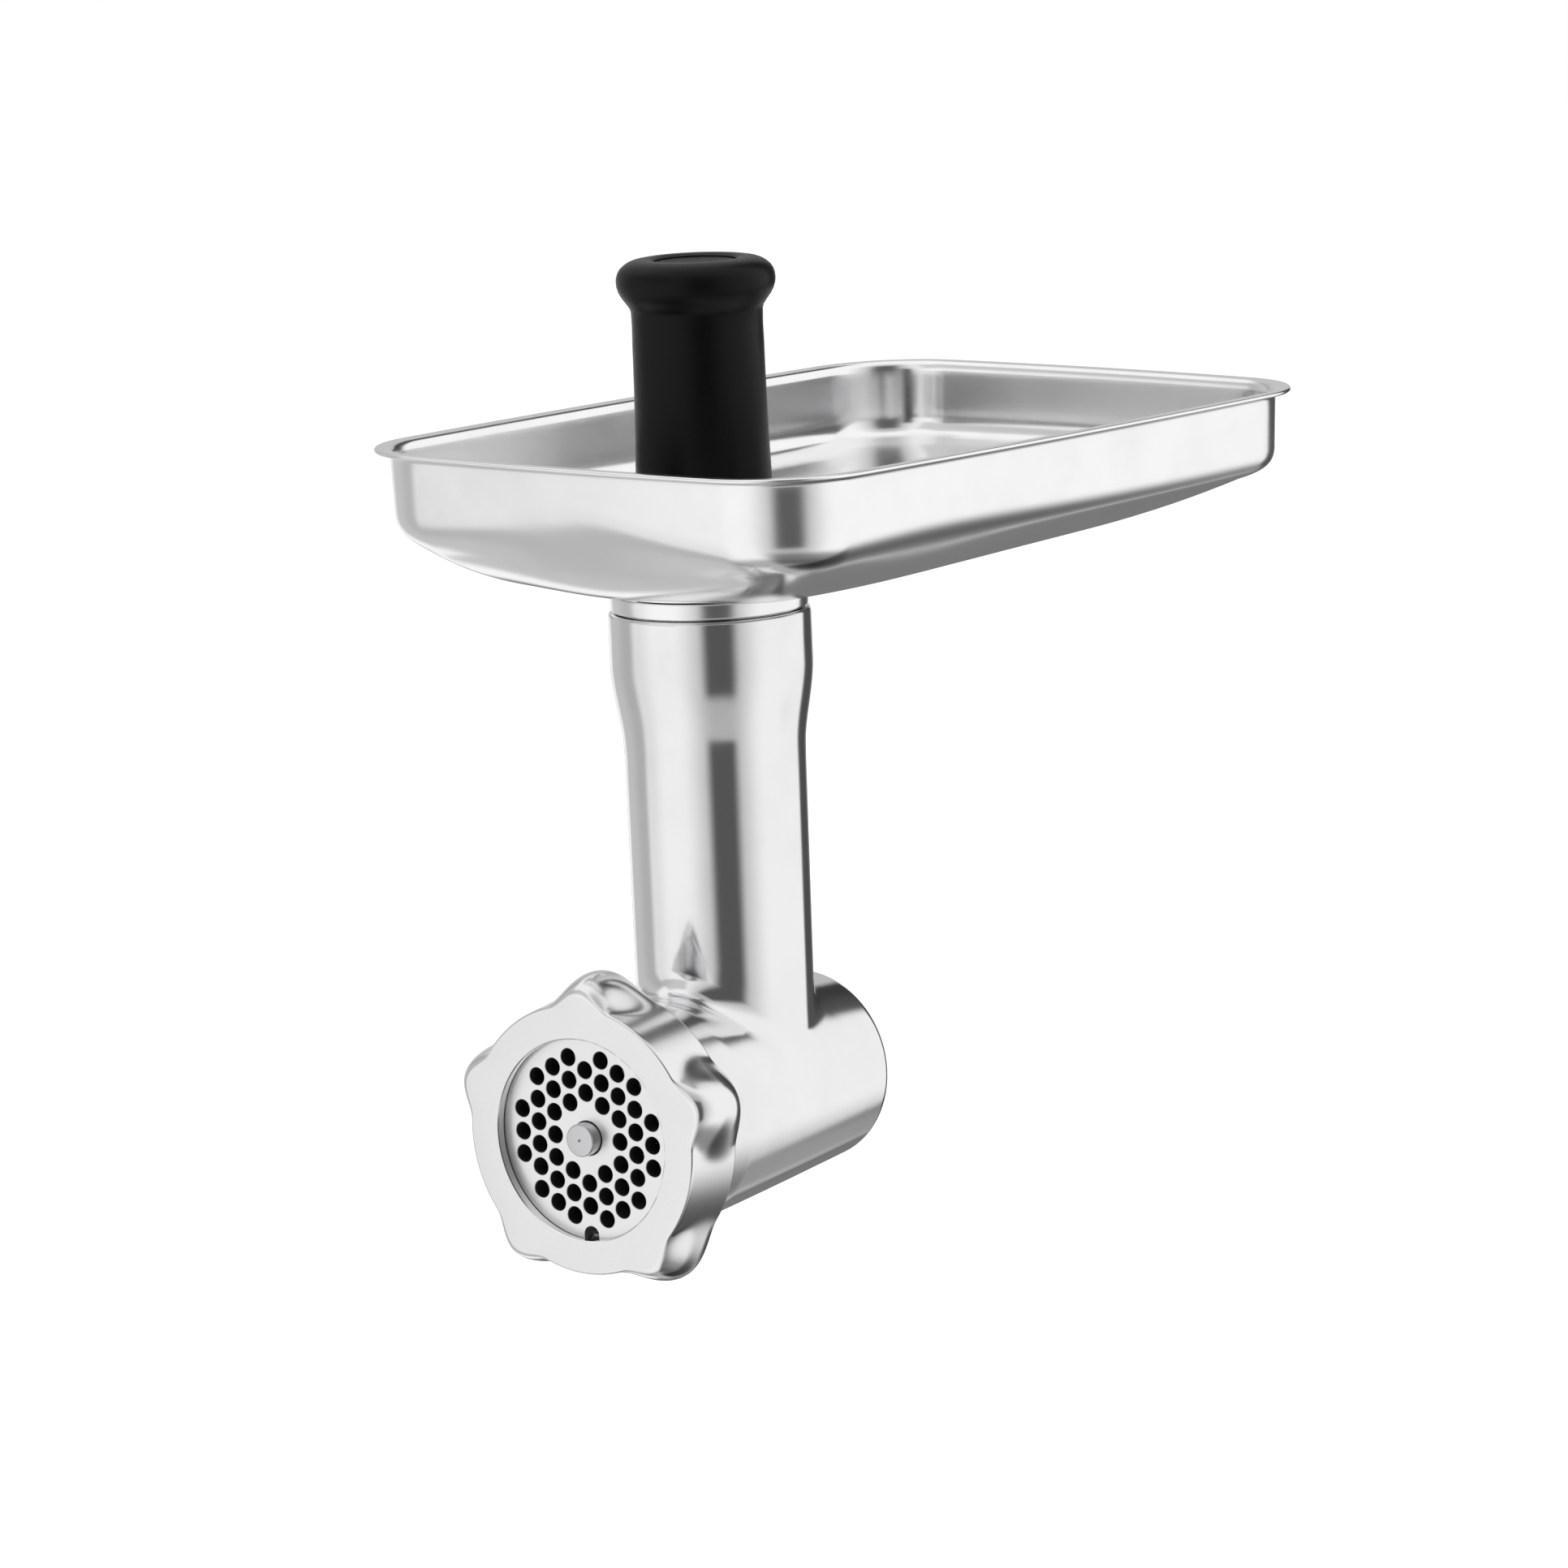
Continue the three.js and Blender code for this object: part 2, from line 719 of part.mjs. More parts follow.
// Points round a rounded rectangle centred behind the neck, with three along each side.
function panOutline(halfX, halfY, corner) {
  const points = [];
  const perCorner = 5;
  const sides = [[1, 1], [-1, 1], [-1, -1], [1, -1]];
  sides.forEach(([sx, sy], quarter) => {
    const cx = sx * (halfX - corner);
    const cy = sy * (halfY - corner);
    for (let i = 0; i <= perCorner; i += 1) {
      const a = (quarter * 90 + (i * 90) / perCorner) * degrees;
      points.push([cx + corner * Math.cos(a), trayCentreBack + cy + corner * Math.sin(a)]);
    }
    const [nx, ny] = sides[(quarter + 1) % 4];
    const [fromX, fromY] = points[points.length - 1];
    const along = quarter % 2 === 0;
    const toX = along ? nx * (halfX - corner) : fromX;
    const toY = trayCentreBack + (along ? fromY - trayCentreBack : ny * (halfY - corner));
    [0.25, 0.5, 0.75].forEach((t) => {
      const bow = trayBow * 4 * t * (1 - t);
      const x = mix(fromX, toX, t) + (along ? 0 : sx * bow);
      const y = mix(fromY, toY, t) + (along ? sy * bow : 0);
      points.push([x, y]);
    });
  });
  return points;
}

// The floor's edge climbs a little toward the tray's rear end, so the pan drains to the neck.
function slopeAt(y) {
  return trayFloorSlope * (y - trayCentreBack);
}

// Sections of one skin of the pan, from the neck's foot to the top of its walls. shift is how
// far the skin lies inside the outer one.
function panSkin(shift) {
  const wallTop = trayTop - traySheet - 1;
  const wallX = trayHalfWidth - trayFlange - shift;
  const wallY = trayHalfLength - trayFlange - shift;
  const wallCorner = trayCornerRadius - trayFlange - shift;
  const rounding = trayWallRounding - shift;
  const neckTop = trayFoot + trayNeckHeight + trayNeckRise + shift;
  const floorZ = neckTop + trayFloorRise;
  const inset = trayWallDraft + rounding;
  const floorEdge = panOutline(wallX - inset, wallY - inset, wallCorner - inset);
  const circle = (radius, z) => floorEdge.map(([x, y]) => {
    const r = Math.hypot(x, y);
    return [(x / r) * radius, (y / r) * radius, z];
  });
  const neck = trayNeckRadius - shift;
  const start = circle(neck + trayNeckFlare, neckTop);
  const floor = (t) => floorEdge.map(([x, y], i) => {
    const climb = t ** trayFloorSag * (trayFloorRise + slopeAt(y));
    return [mix(start[i][0], x, t), mix(start[i][1], y, t), neckTop + climb];
  });
  const walls = [22, 45, 68, 90].map((angle) => {
    const out = rounding * Math.sin(angle * degrees);
    const z = floorZ + rounding * (1 - Math.cos(angle * degrees));
    const share = (wallTop - z) / (wallTop - floorZ);
    return panOutline(wallX - inset + out, wallY - inset + out, wallCorner - inset + out)
      .map(([x, y]) => [x, y, z + share * slopeAt(y)]);
  });
  return [
    circle(neck, trayFoot),
    circle(neck, trayFoot + trayNeckHeight + shift),
    circle(neck + trayNeckFlare * 0.3, neckTop - trayNeckRise * 0.3),
    start,
    ...[0.3, 0.55, 0.75, 0.9, 1].map(floor),
    ...walls,
    panOutline(wallX, wallY, wallCorner).map(([x, y]) => [x, y, wallTop]),
  ];
}

function feedTray() {
  const outer = panSkin(0);
  const inner = panSkin(traySheet);
  const flangeFoot = trayTop - traySheet;
  const rim = (grow, z) => panOutline(trayHalfWidth - trayFlange + grow,
    trayHalfLength - trayFlange + grow, trayCornerRadius - trayFlange + grow)
    .map(([x, y]) => [x, y, z]);
  const sections = [
    ...outer,
    rim(0.6, flangeFoot),
    rim(trayFlange - 0.3, flangeFoot),
    rim(trayFlange, flangeFoot + 0.4),
    rim(trayFlange, trayTop - 0.3),
    rim(trayFlange - 0.4, trayTop),
    rim(0.2 - traySheet, trayTop),
    ...inner.reverse(),
  ];
  const around = sections[0].length;
  const surface = (u, v, target) => {
    const section = sections[Math.round(v * sections.length) % sections.length];
    target.set(...section[Math.round(u * around) % around]);
  };
  return solid(new ParametricGeometry(surface, around, sections.length));
}

// ---------------------------------------------------------------- pusher

function pusherBody() {
  const headCentre = pusherTop - pusherHeadHeight / 2;
  const crease = pusherTop - pusherHeadHeight;
  const mouth = pusherTop - pusherCapSunk - pusherCapThickness - restGap;
  const cavity = pusherGripRadius - pusherWall;
  const bulge = (angle) => [
    mix(pusherRimRadius, pusherHeadRadius, Math.cos(angle * degrees)),
    headCentre + (pusherHeadHeight / 2) * Math.sin(angle * degrees),
  ];
  return solid(upright([
    [0, pusherFoot],
    [pusherFootRadius - 1.5, pusherFoot],
    [pusherFootRadius, pusherFoot + 1.5],
    [pusherFootRadius, pusherGripStart - 30],
    [mix(pusherFootRadius, pusherGripRadius, 0.55), pusherGripStart + 15],
    [pusherGripRadius, crease - 7],
    [pusherGripRadius, crease],
    ...[-40, -15, 10, 35, 60, 90].map(bulge),
    [pusherCapRadius + restGap, pusherTop - 0.2],
    [pusherCapRadius + restGap, mouth],
    [pusherCapRadius - 1.5, mouth],
    [pusherCapRadius - 1.5, mouth - 3],
    [cavity, mouth - 8],
    [cavity, pusherFoot + pusherWall],
    [0, pusherFoot + pusherWall],
  ], medium));
}

function pusherCap() {
  const top = pusherTop - pusherCapSunk;
  return solid(upright([
    [0, top - pusherCapThickness],
    [pusherCapRadius, top - pusherCapThickness],
    [pusherCapRadius, top - 0.4],
    [pusherCapRadius - 0.4, top],
    [0, top - 0.3],
  ], medium));
}

// ---------------------------------------------------------------- assembly

function piece(name, body, material) {
  const mesh = new THREE.Mesh(geometryOf(body), material);
  mesh.name = name;
  return mesh;
}

const grinder = new THREE.Group();

const casing = new THREE.Group();
casing.add(
  piece('grinder_housing', housing(), polished),
  piece('hub_adapter', hubAdapter(), machined),
  piece('adapter_gasket', adapterGasket(), darkRubber),
  piece('shaft_bush', solid(sleeve(bushInner, bushOuter, bushFront, bushRear, 32)), acetal),
  piece('shaft_seal', solid(sleeve(bushInner, bushOuter, sealFront, sealFront + sealLength, 32)),
    darkRubber),
  piece('plate_key', plateKey(), zinc),
);
screwAngles.forEach((angle, i) => {
  const screw = piece(`adapter_screw_${i + 1}`, adapterScrew(), zinc);
  const a = angle * degrees;
  screw.position.set(screwCircleRadius * Math.cos(a), 0, screwCircleRadius * Math.sin(a));
  casing.add(screw);
});

const rotor = new THREE.Group();
rotor.add(
  piece('auger', auger(), satin),
  piece('drive_shank', driveShank(), machined),
  piece('shank_cross_pin', solid(crossPin(0)), zinc),
  piece('thrust_washer', thrustWasher(), acetal),
  piece('knife_stud', knifeStud(), machined),
  piece('cutting_knife', cuttingKnife(), satin),
);

const outlet = new THREE.Group();
outlet.add(
  piece('grinding_plate', grindingPlate(), satin),
  piece('ring_nut', ringNut(), polished),
);

// What stands in the feed tube shares its axis. The tray is turned on its collar.
const throat = new THREE.Group();
throat.position.set(0, -tubeFromSeat, 0);
const pan = new THREE.Group();
pan.rotation.z = trayTurn * degrees;
pan.add(piece('feed_tray', feedTray(), polished));
throat.add(
  piece('tray_collar', trayCollar(), polished),
  pan,
  piece('pusher_body', pusherBody(), blackPlastic),
  piece('pusher_cap', pusherCap(), blackPlastic),
);

grinder.add(casing, rotor, outlet, throat);

export default grinder;
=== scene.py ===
"""Looks for the meat grinder head, laid out as an add-on: one operator for each piece.

Lengths are in metres. The barrel lies along Y with the plate facing -Y, the feed tube stands
along Z, and the origin is the middle of the seat that meets the mixer's hub.
"""
import math

import bmesh
import bpy
import numpy as np
from bpy.props import FloatProperty, FloatVectorProperty, IntProperty, PointerProperty
from mathutils import Matrix, Vector


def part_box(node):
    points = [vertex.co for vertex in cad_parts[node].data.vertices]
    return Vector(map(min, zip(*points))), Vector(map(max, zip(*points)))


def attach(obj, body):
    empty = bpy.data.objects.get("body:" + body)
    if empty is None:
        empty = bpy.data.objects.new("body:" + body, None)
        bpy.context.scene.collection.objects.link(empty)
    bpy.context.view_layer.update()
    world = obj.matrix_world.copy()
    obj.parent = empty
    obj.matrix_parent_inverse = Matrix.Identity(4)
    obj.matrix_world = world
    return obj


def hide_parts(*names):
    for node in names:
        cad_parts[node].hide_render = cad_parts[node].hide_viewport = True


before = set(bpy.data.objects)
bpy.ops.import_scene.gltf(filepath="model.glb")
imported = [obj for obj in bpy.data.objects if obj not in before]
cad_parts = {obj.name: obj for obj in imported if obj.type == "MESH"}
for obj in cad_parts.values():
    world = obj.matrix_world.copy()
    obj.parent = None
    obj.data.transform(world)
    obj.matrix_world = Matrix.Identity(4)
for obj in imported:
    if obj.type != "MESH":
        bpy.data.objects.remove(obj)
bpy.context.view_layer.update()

bl_info = {
    "name": "Meat Grinder Head",
    "version": (1, 0, 0),
    "blender": (4, 5, 0),
    "location": "3D View > Sidebar > Grinder",
    "description": "Builds the surfaces and finishes of a stand-mixer meat grinder head",
    "category": "Add Mesh",
}

TURN = 2 * math.pi
MM = 0.001
GAP = 0.3 * MM
SHARP_ANGLE = 35.0


def low(node, axis):
    """The lowest place of a CAD node along an axis, 0 to 2."""
    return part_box(node)[0][axis]


def high(node, axis):
    """The highest place of a CAD node along an axis, 0 to 2."""
    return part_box(node)[1][axis]


def middle(node, axis):
    """The middle of a CAD node's box along an axis."""
    return (low(node, axis) + high(node, axis)) / 2


def length(label, text, default):
    """A length in metres that a user may change."""
    return FloatProperty(name=label, description=text, default=default, unit="LENGTH", precision=5)


def angle(label, text, default):
    """An angle, given in degrees and kept in radians."""
    return FloatProperty(name=label, description=text, default=math.radians(default),
                         unit="ROTATION")


def number(label, text, default):
    """A plain share or count that isn't a length."""
    return FloatProperty(name=label, description=text, default=default, precision=4)


def whole(label, text, default):
    """A whole number of repeats."""
    return IntProperty(name=label, description=text, default=default, min=1)


def colour(label, text, default):
    """A colour that a user may change."""
    return FloatVectorProperty(name=label, description=text, default=default, subtype="COLOR",
                               size=3, min=0, max=1)


# ---------------------------------------------------------------- sizes and colours


class HousingSizes(bpy.types.PropertyGroup):
    """Sizes of the casting: barrel, feed tube and threaded boss."""

    rear_radius: length("Rear radius", "Barrel radius at the hub end", 24.6 * MM)
    front_radius: length("Front radius", "Barrel radius behind the ring nut", 28.5 * MM)
    cone_length: length("Cone length", "How far the barrel goes on widening", 67.5 * MM)
    rear_rounding: length("Rear rounding", "Rounding of the barrel's rear edge", 3.5 * MM)
    boss_radius: length("Boss radius", "Crest radius of the threaded boss", 30.7 * MM)
    boss_length: length("Boss length", "Length of the threaded boss", 10.5 * MM)
    thread_pitch: length("Thread pitch", "Advance of the thread in one turn", 2.5 * MM)
    thread_depth: length("Thread depth", "Depth of the thread below its crest", 1.0 * MM)
    bore_radius: length("Bore radius", "Radius of the auger's bore", 22.2 * MM)
    chamber_radius: length("Chamber radius", "Radius round the knife", 25 * MM)
    seat_radius: length("Seat radius", "Radius of the plate's seat", 27.2 * MM)
    rear_wall: length("Rear wall", "Thickness of the wall at the hub end", 13 * MM)
    hub_recess: length("Hub recess", "Radius of the recess for the hub adapter", 19.7 * MM)
    recess_depth: length("Recess depth", "Depth of the hub adapter's recess", 5.4 * MM)
    shaft_hole: length("Shaft hole", "Radius of the hole for the shaft bush", 10.7 * MM)
    tube_root: length("Tube root radius", "Feed tube radius where it meets the barrel", 22.2 * MM)
    tube_neck: length("Tube neck radius", "Feed tube radius under the flare", 22.7 * MM)
    tube_mouth: length("Tube mouth radius", "Feed tube radius at its mouth", 25.4 * MM)
    flare_start: length("Flare start", "Height where the tube starts to widen", 87 * MM)
    flare_end: length("Flare end", "Height where the tube stops widening", 110 * MM)
    tube_bore: length("Tube bore", "Inner radius of the feed tube", 20.4 * MM)
    socket_radius: length("Socket radius", "Inner radius of the mouth's socket", 23.3 * MM)
    socket_depth: length("Socket depth", "Depth of the socket for the collar", 18.3 * MM)
    fillet: length("Root fillet", "Fillet between the feed tube and the barrel", 6.5 * MM)
    rib_height: length("Rib height", "Height of the ribs in the bore", 0.8 * MM)
    rib_width: length("Rib width", "Width of the ribs in the bore", 2.4 * MM)
    rib_count: whole("Ribs", "Number of ribs in the bore", 5)
    rib_first: angle("First rib", "Place of the first rib round the barrel", 200)
    rib_step: angle("Rib step", "Turn from one rib to the next", 35)


class RingSizes(bpy.types.PropertyGroup):
    """Sizes of the lobed ring nut."""

    front_radius: length("Front radius", "Radius of the front face between lobes", 33.8 * MM)
    rear_radius: length("Rear radius", "Radius of the rear edge between lobes", 35.4 * MM)
    opening: length("Opening", "Radius of the opening in front of the plate", 25.3 * MM)
    lip: length("Lip", "Thickness of the front lip", 2.64 * MM)
    bore: length("Bore", "Radius of the thread's bore", 31 * MM)
    lobes: whole("Lobes", "Number of finger lobes", 5)
    first_lobe: angle("First lobe", "Place of the first lobe round the ring", 16.4)
    front_lobe: length("Lobe at the front", "Height of a lobe in the front face", 3.0 * MM)
    rear_lobe: length("Lobe at the rear", "Height of a lobe at the rear edge", 2.6 * MM)
    lobe_swell: length("Lobe swell", "Extra height of a lobe halfway back", 3.5 * MM)
    front_span: angle("Front span", "Half width of a lobe in the front face", 15)
    rear_span: angle("Rear span", "Half width of a lobe at the rear edge", 20)
    span_swell: angle("Span swell", "Extra half width of a lobe halfway back", 7)
    edge: length("Edge rounding", "Rounding of the outer edges", 0.7 * MM)


class PlateSizes(bpy.types.PropertyGroup):
    """Sizes of the perforated plate and the pin at its centre."""

    centre_hole: length("Centre hole", "Radius of the hole round the pin", 4.35 * MM)
    pitch: length("Hole pitch", "Distance from one hole to the next", 5.7 * MM)
    hole: length("Hole radius", "Radius of each hole", 2.22 * MM)
    countersink: length("Countersink", "Depth of the bevel at each hole's mouth", 0.12 * MM)
    inner_ring: whole("Inner ring", "First ring of the lattice that has holes", 2)
    outer_ring: whole("Outer ring", "Last ring of the lattice that has holes", 4)
    notch: length("Notch radius", "Radius of the locating notch", 2.25 * MM)
    notch_depth: length("Notch depth", "Depth of the locating notch", 4.75 * MM)
    edge: length("Edge bevel", "Bevel on the plate's outer edge", 0.35 * MM)
    pin: length("Pin radius", "Radius of the pin through the plate", 4.1 * MM)
    pin_dimple: length("Centre mark", "Radius of the lathe centre in the pin's end", 0.45 * MM)
    square: length("Drive square", "Width of the square that turns the knife", 8.4 * MM)
    stud: length("Stud radius", "Radius of the stud inside the auger", 5 * MM)


class TraySizes(bpy.types.PropertyGroup):
    """Sizes of the feed tray and its collar."""

    half_width: length("Half width", "Half the tray's width at a corner", 77 * MM)
    half_length: length("Half length", "Half the tray's length at a corner", 106.9 * MM)
    bow: length("Bow", "How far each side bows outward at its middle", 1.8 * MM)
    centre_back: length("Centre", "How far the tray's middle lies behind the tube", 51.9 * MM)
    turn: angle("Turn", "How far the tray is turned on the tube at rest", -6.2)
    corner: length("Corner radius", "Radius of the flange's corners", 28.4 * MM)
    flange: length("Flange", "Width of the flange", 4 * MM)
    sheet: length("Sheet", "Thickness of the sheet", 1.1 * MM)
    rounding: length("Rounding", "Width of the bend from floor to wall", 8 * MM)
    draft: length("Draft", "How far the wall leans out from bend to flange", 0.5 * MM)
    bend_lead: number("Bend lead", "Share of the bend that keeps the floor's slope", 0.75)
    bend_rise: length("Bend rise", "How far the bend climbs over the floor's corner", 6 * MM)
    heel: length("Heel", "How far the wall's foot stays above the floor's corner", 1.0 * MM)
    floor_rise: length("Floor rise", "How far the floor climbs from neck to bend", 11.6 * MM)
    floor_sag: number("Floor sag", "How late the floor climbs on its way outward", 2.6)
    floor_slope: number("Floor slope", "Extra climb towards the tray's rear end", 0.02)
    neck: length("Neck radius", "Outer radius of the neck", 24.4 * MM)
    flare: length("Neck flare", "Width of the bend from neck to floor", 3.6 * MM)
    neck_rise: length("Neck rise", "Height of the bend from neck to floor", 1.0 * MM)
    collar_edge: length("Collar edge", "Rounding of the collar's edges", 0.7 * MM)
    spigot: length("Spigot radius", "Outer radius of the collar's spigot", 23 * MM)


class PusherSizes(bpy.types.PropertyGroup):
    """Sizes of the pusher and its cap."""

    foot: length("Foot radius", "Radius of the pusher in the feed tube", 18.8 * MM)
    grip: length("Grip radius", "Radius of the grip under the head", 16.35 * MM)
    head: length("Head radius", "Largest radius of the head", 19.85 * MM)
    head_height: length("Head height", "Height of the head over the grip", 12.6 * MM)
    rim: length("Rim radius", "Radius of the rim round the cap", 11.6 * MM)
    cap_gap: length("Cap gap", "Gap round the cap", 0.25 * MM)
    grip_start: length("Grip start", "Height where the body starts to narrow", 122 * MM)
    wall: length("Wall", "Thickness of the hollow body", 4 * MM)


class HubSizes(bpy.types.PropertyGroup):
    """Sizes of the bayonet adapter, its screws and the drive shank."""

    flange: length("Flange radius", "Radius of the adapter's flange", 19.4 * MM)
    neck: length("Neck radius", "Radius of the bayonet's neck", 13.4 * MM)
    lug: length("Lug radius", "Radius over the lugs", 17 * MM)
    lug_thickness: length("Lug thickness", "Thickness of a lug", 3.6 * MM)
    lug_setback: length("Lug setback", "Distance of the lugs from the neck's end", 1 * MM)
    lug_span: angle("Lug span", "Half width of a lug", 17)
    lugs: whole("Lugs", "Number of lugs", 3)
    bore: length("Bore", "Radius of the hole for the bush", 10.7 * MM)
    screw_circle: length("Screw circle", "Radius of the circle of screws", 16.3 * MM)
    screw_head: length("Screw head", "Radius of a screw's head", 2.35 * MM)
    screw_height: length("Head height", "Height of a screw's head", 1.9 * MM)
    screw_shank: length("Screw shank", "Radius of a screw's thread", 1.4 * MM)
    screw_first: angle("First screw", "Place of the first screw round the barrel", 30)
    shank: length("Shank width", "Width of the square drive shank", 9.5 * MM)
    journal: length("Journal radius", "Radius of the shaft in its bush", 8 * MM)
    spigot: length("Spigot radius", "Radius of the shaft inside the auger", 5.5 * MM)
    edge: length("Edge", "Bevel on machined edges", 0.5 * MM)


class FinishColours(bpy.types.PropertyGroup):
    """Base colours of the finishes, one of them a painted shade for walls that no light reaches.
    """

    steel: colour("Polished steel", "Colour of the mirror-polished steel", (0.86, 0.86, 0.865))
    sheet: colour("Drawn sheet", "Colour of the tray's bright sheet", (0.93, 0.93, 0.935))
    ground: colour("Ground steel", "Colour of the ground and blasted faces", (0.90, 0.90, 0.905))
    machined: colour("Machined steel", "Colour of turned steel", (0.62, 0.62, 0.63))
    fastener: colour("Fastener", "Colour of screws and pins", (0.58, 0.59, 0.60))
    # Painted shade: a near-black colour that stands in for the shade in the plate's holes and on
    # the knife behind them.
    hole_shade: colour("Unlit steel", "Colour of the dull walls inside", (0.045, 0.045, 0.046))
    acetal: colour("Acetal", "Colour of the plastic bearings", (0.78, 0.77, 0.72))
    rubber: colour("Rubber", "Colour of the seals", (0.020, 0.020, 0.021))
    pusher: colour("Pusher", "Colour of the pusher's plastic", (0.0030, 0.0030, 0.0032))
    floor: colour("Floor", "Colour of the studio floor", (0.93, 0.93, 0.93))


class StudioSizes(bpy.types.PropertyGroup):
    """Camera, floor and surroundings."""

    camera_place: FloatVectorProperty(name="Camera", description="Place of the camera",
                                      default=(1.0591, -1.4984, 0.3920), subtype="XYZ",
                                      unit="LENGTH")
    camera_turn: FloatVectorProperty(name="Camera turn", description="Azimuth, elevation, roll",
                                     default=tuple(math.radians(a) for a in
                                                   (35.40, 9.8756, -2.308)),
                                     unit="ROTATION")
    lens: number("Lens", "Focal length of the camera in millimetres", 167.7)
    floor_drop: length("Floor drop", "How far the floor lies under the barrel's axis", 0.26)
    floor_radius: length("Floor radius", "Radius of the floor disc", 6.0)
    floor_glow: number("Floor glow", "Light that the floor gives off, as a backlit sweep", 0.4)
    sky: number("Surroundings", "Brightness of the white surroundings", 1.0)


# ---------------------------------------------------------------- mesh building


class Shell:
    """Points and faces of one piece while it is being built."""

    def __init__(self):
        self.points = []
        self.faces = []
        self.slots = []
        self.total = 0

    def rows(self, rows, slot=0, looped=False):
        """Faces between rings of points. looped joins the last ring to the first."""
        rows = np.asarray(rows, float)
        count, across = rows.shape[:2]
        base = self.total
        self.points.append(rows.reshape(-1, 3))
        self.total += count * across
        for r in range(count if looped else count - 1):
            here = base + r * across
            there = base + ((r + 1) % count) * across
            for c in range(across):
                n = (c + 1) % across
                self.faces.append((here + c, here + n, there + n, there + c))
                self.slots.append(slot)

    def disc(self, row):
        """One face that fills a row of points."""
        row = np.asarray(row, float)
        self.points.append(row)
        self.faces.append(tuple(range(self.total, self.total + len(row))))
        self.slots.append(0)
        self.total += len(row)

    def object(self, name, materials, sharp=SHARP_ANGLE):
        """The finished piece: corners joined, faces outward, smooth but for sharp edges."""
        weld = 2e-6
        sliver = 1e-7
        mesh = bpy.data.meshes.new(name)
        points = np.concatenate(self.points)
        mesh.from_pydata(points.tolist(), [], self.faces)
        mesh.polygons.foreach_set("material_index", self.slots)
        tidy = bmesh.new()
        tidy.from_mesh(mesh)
        bmesh.ops.remove_doubles(tidy, verts=tidy.verts, dist=weld)
        bmesh.ops.dissolve_degenerate(tidy, edges=tidy.edges, dist=sliver)
        bmesh.ops.recalc_face_normals(tidy, faces=tidy.faces)
        tidy.to_mesh(mesh)
        tidy.free()
        mesh.polygons.foreach_set("use_smooth", [True] * len(mesh.polygons))
        mesh.set_sharp_from_angle(angle=math.radians(sharp))
        for material in materials:
            mesh.materials.append(material)
        piece = bpy.data.objects.new(name, mesh)
        bpy.context.scene.collection.objects.link(piece)
        return piece


def ring_points(radius, place, count):
    """Points round the barrel's axis. radius may be one number or one for each point."""
    turn = -math.pi + TURN * np.arange(count) / count
    radius = np.broadcast_to(radius, (count,))
    return np.stack([radius * np.sin(turn), np.full(count, place), radius * np.cos(turn)], 1)


def tube_points(radius, height, count):
    """Points round the feed tube's axis."""
    turn = TURN * np.arange(count) / count
    back = tube_axis()
    return np.stack([radius * np.cos(turn), back + radius * np.sin(turn),
                     np.full(count, height)], 1)


def tube_axis():
    """Where the feed tube's axis stands along the barrel."""
    return middle("tray_collar", 1)


def arc(centre, radius, start, end, steps):
    """Points of an arc in a profile, with angles in degrees."""
    turn = np.radians(np.linspace(start, end, steps + 1))
    return [(centre[0] + radius * math.cos(a), centre[1] + radius * math.sin(a)) for a in turn]


def round_profile(corners, radii, steps=4):
    """A closed profile's corners, each rounded by its own radius."""
    profile = []
    total = len(corners)
    for i, corner in enumerate(corners):
        here = np.array(corner, float)
        if radii[i] <= 0:
            profile.append(tuple(here))
            continue
        before = np.array(corners[i - 1], float) - here
        after = np.array(corners[(i + 1) % total], float) - here
        before_length = np.linalg.norm(before)
        after_length = np.linalg.norm(after)
        before /= before_length
        after /= after_length
        half = math.acos(np.clip(before @ after, -1, 1)) / 2
        reach = min(radii[i] / math.tan(half), 0.49 * before_length, 0.49 * after_length)
        first = here + before * reach
        last = here + after * reach
        for t in np.linspace(0, 1, steps + 1):
            bend = (1 - t) ** 2 * first + 2 * t * (1 - t) * here + t * t * last
            profile.append(tuple(bend))
    return profile


def smooth(t):
    """A smooth step from 0 to 1."""
    t = np.clip(t, 0, 1)
    return t * t * (3 - 2 * t)


def turned(name, profile, materials, count=128, upright=False):
    """A piece turned from a closed profile of (radius, place) round the barrel or the tube."""
    shell = Shell()
    rows = [tube_points(r, h, count) if upright else ring_points(r, h, count)
            for r, h in profile]
    shell.rows(rows, looped=True)
    return shell.object(name, materials)


def capped(name, profile, materials, count=128, upright=False, sharp=SHARP_ANGLE):
    """A piece turned from an open profile whose two ends are closed by flat discs."""
    shell = Shell()
    rows = [tube_points(r, h, count) if upright else ring_points(r, h, count)
            for r, h in profile]
    shell.rows(rows)
    shell.disc(rows[0])
    shell.disc(rows[-1])
    return shell.object(name, materials, sharp)


def keep(piece, body, slot, *nodes):
    """Fixes a finished piece to its body and hides the CAD nodes that it stands for; its slot is
    not used.
    """
    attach(piece, body)
    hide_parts(*nodes)


# ---------------------------------------------------------------- node trees


def add_node(tree, kind, inputs=(), **settings):
    """A node in a tree, its settings and inputs set. An input that is a socket is linked."""
    node = tree.nodes.new(kind)
    for key, value in settings.items():
        setattr(node, key, value)
    for key, value in dict(inputs).items():
        if isinstance(value, bpy.types.NodeSocket):
            tree.links.new(value, node.inputs[key])
        else:
            node.inputs[key].default_value = value
    return node


def maths(tree, operation, first, second=0.0, third=0.0):
    """The result of a math node."""
    node = tree.nodes.new("ShaderNodeMath")
    node.operation = operation
    for i, value in enumerate((first, second, third)):
        if isinstance(value, bpy.types.NodeSocket):
            tree.links.new(value, node.inputs[i])
        else:
            node.inputs[i].default_value = value
    return node.outputs[0]


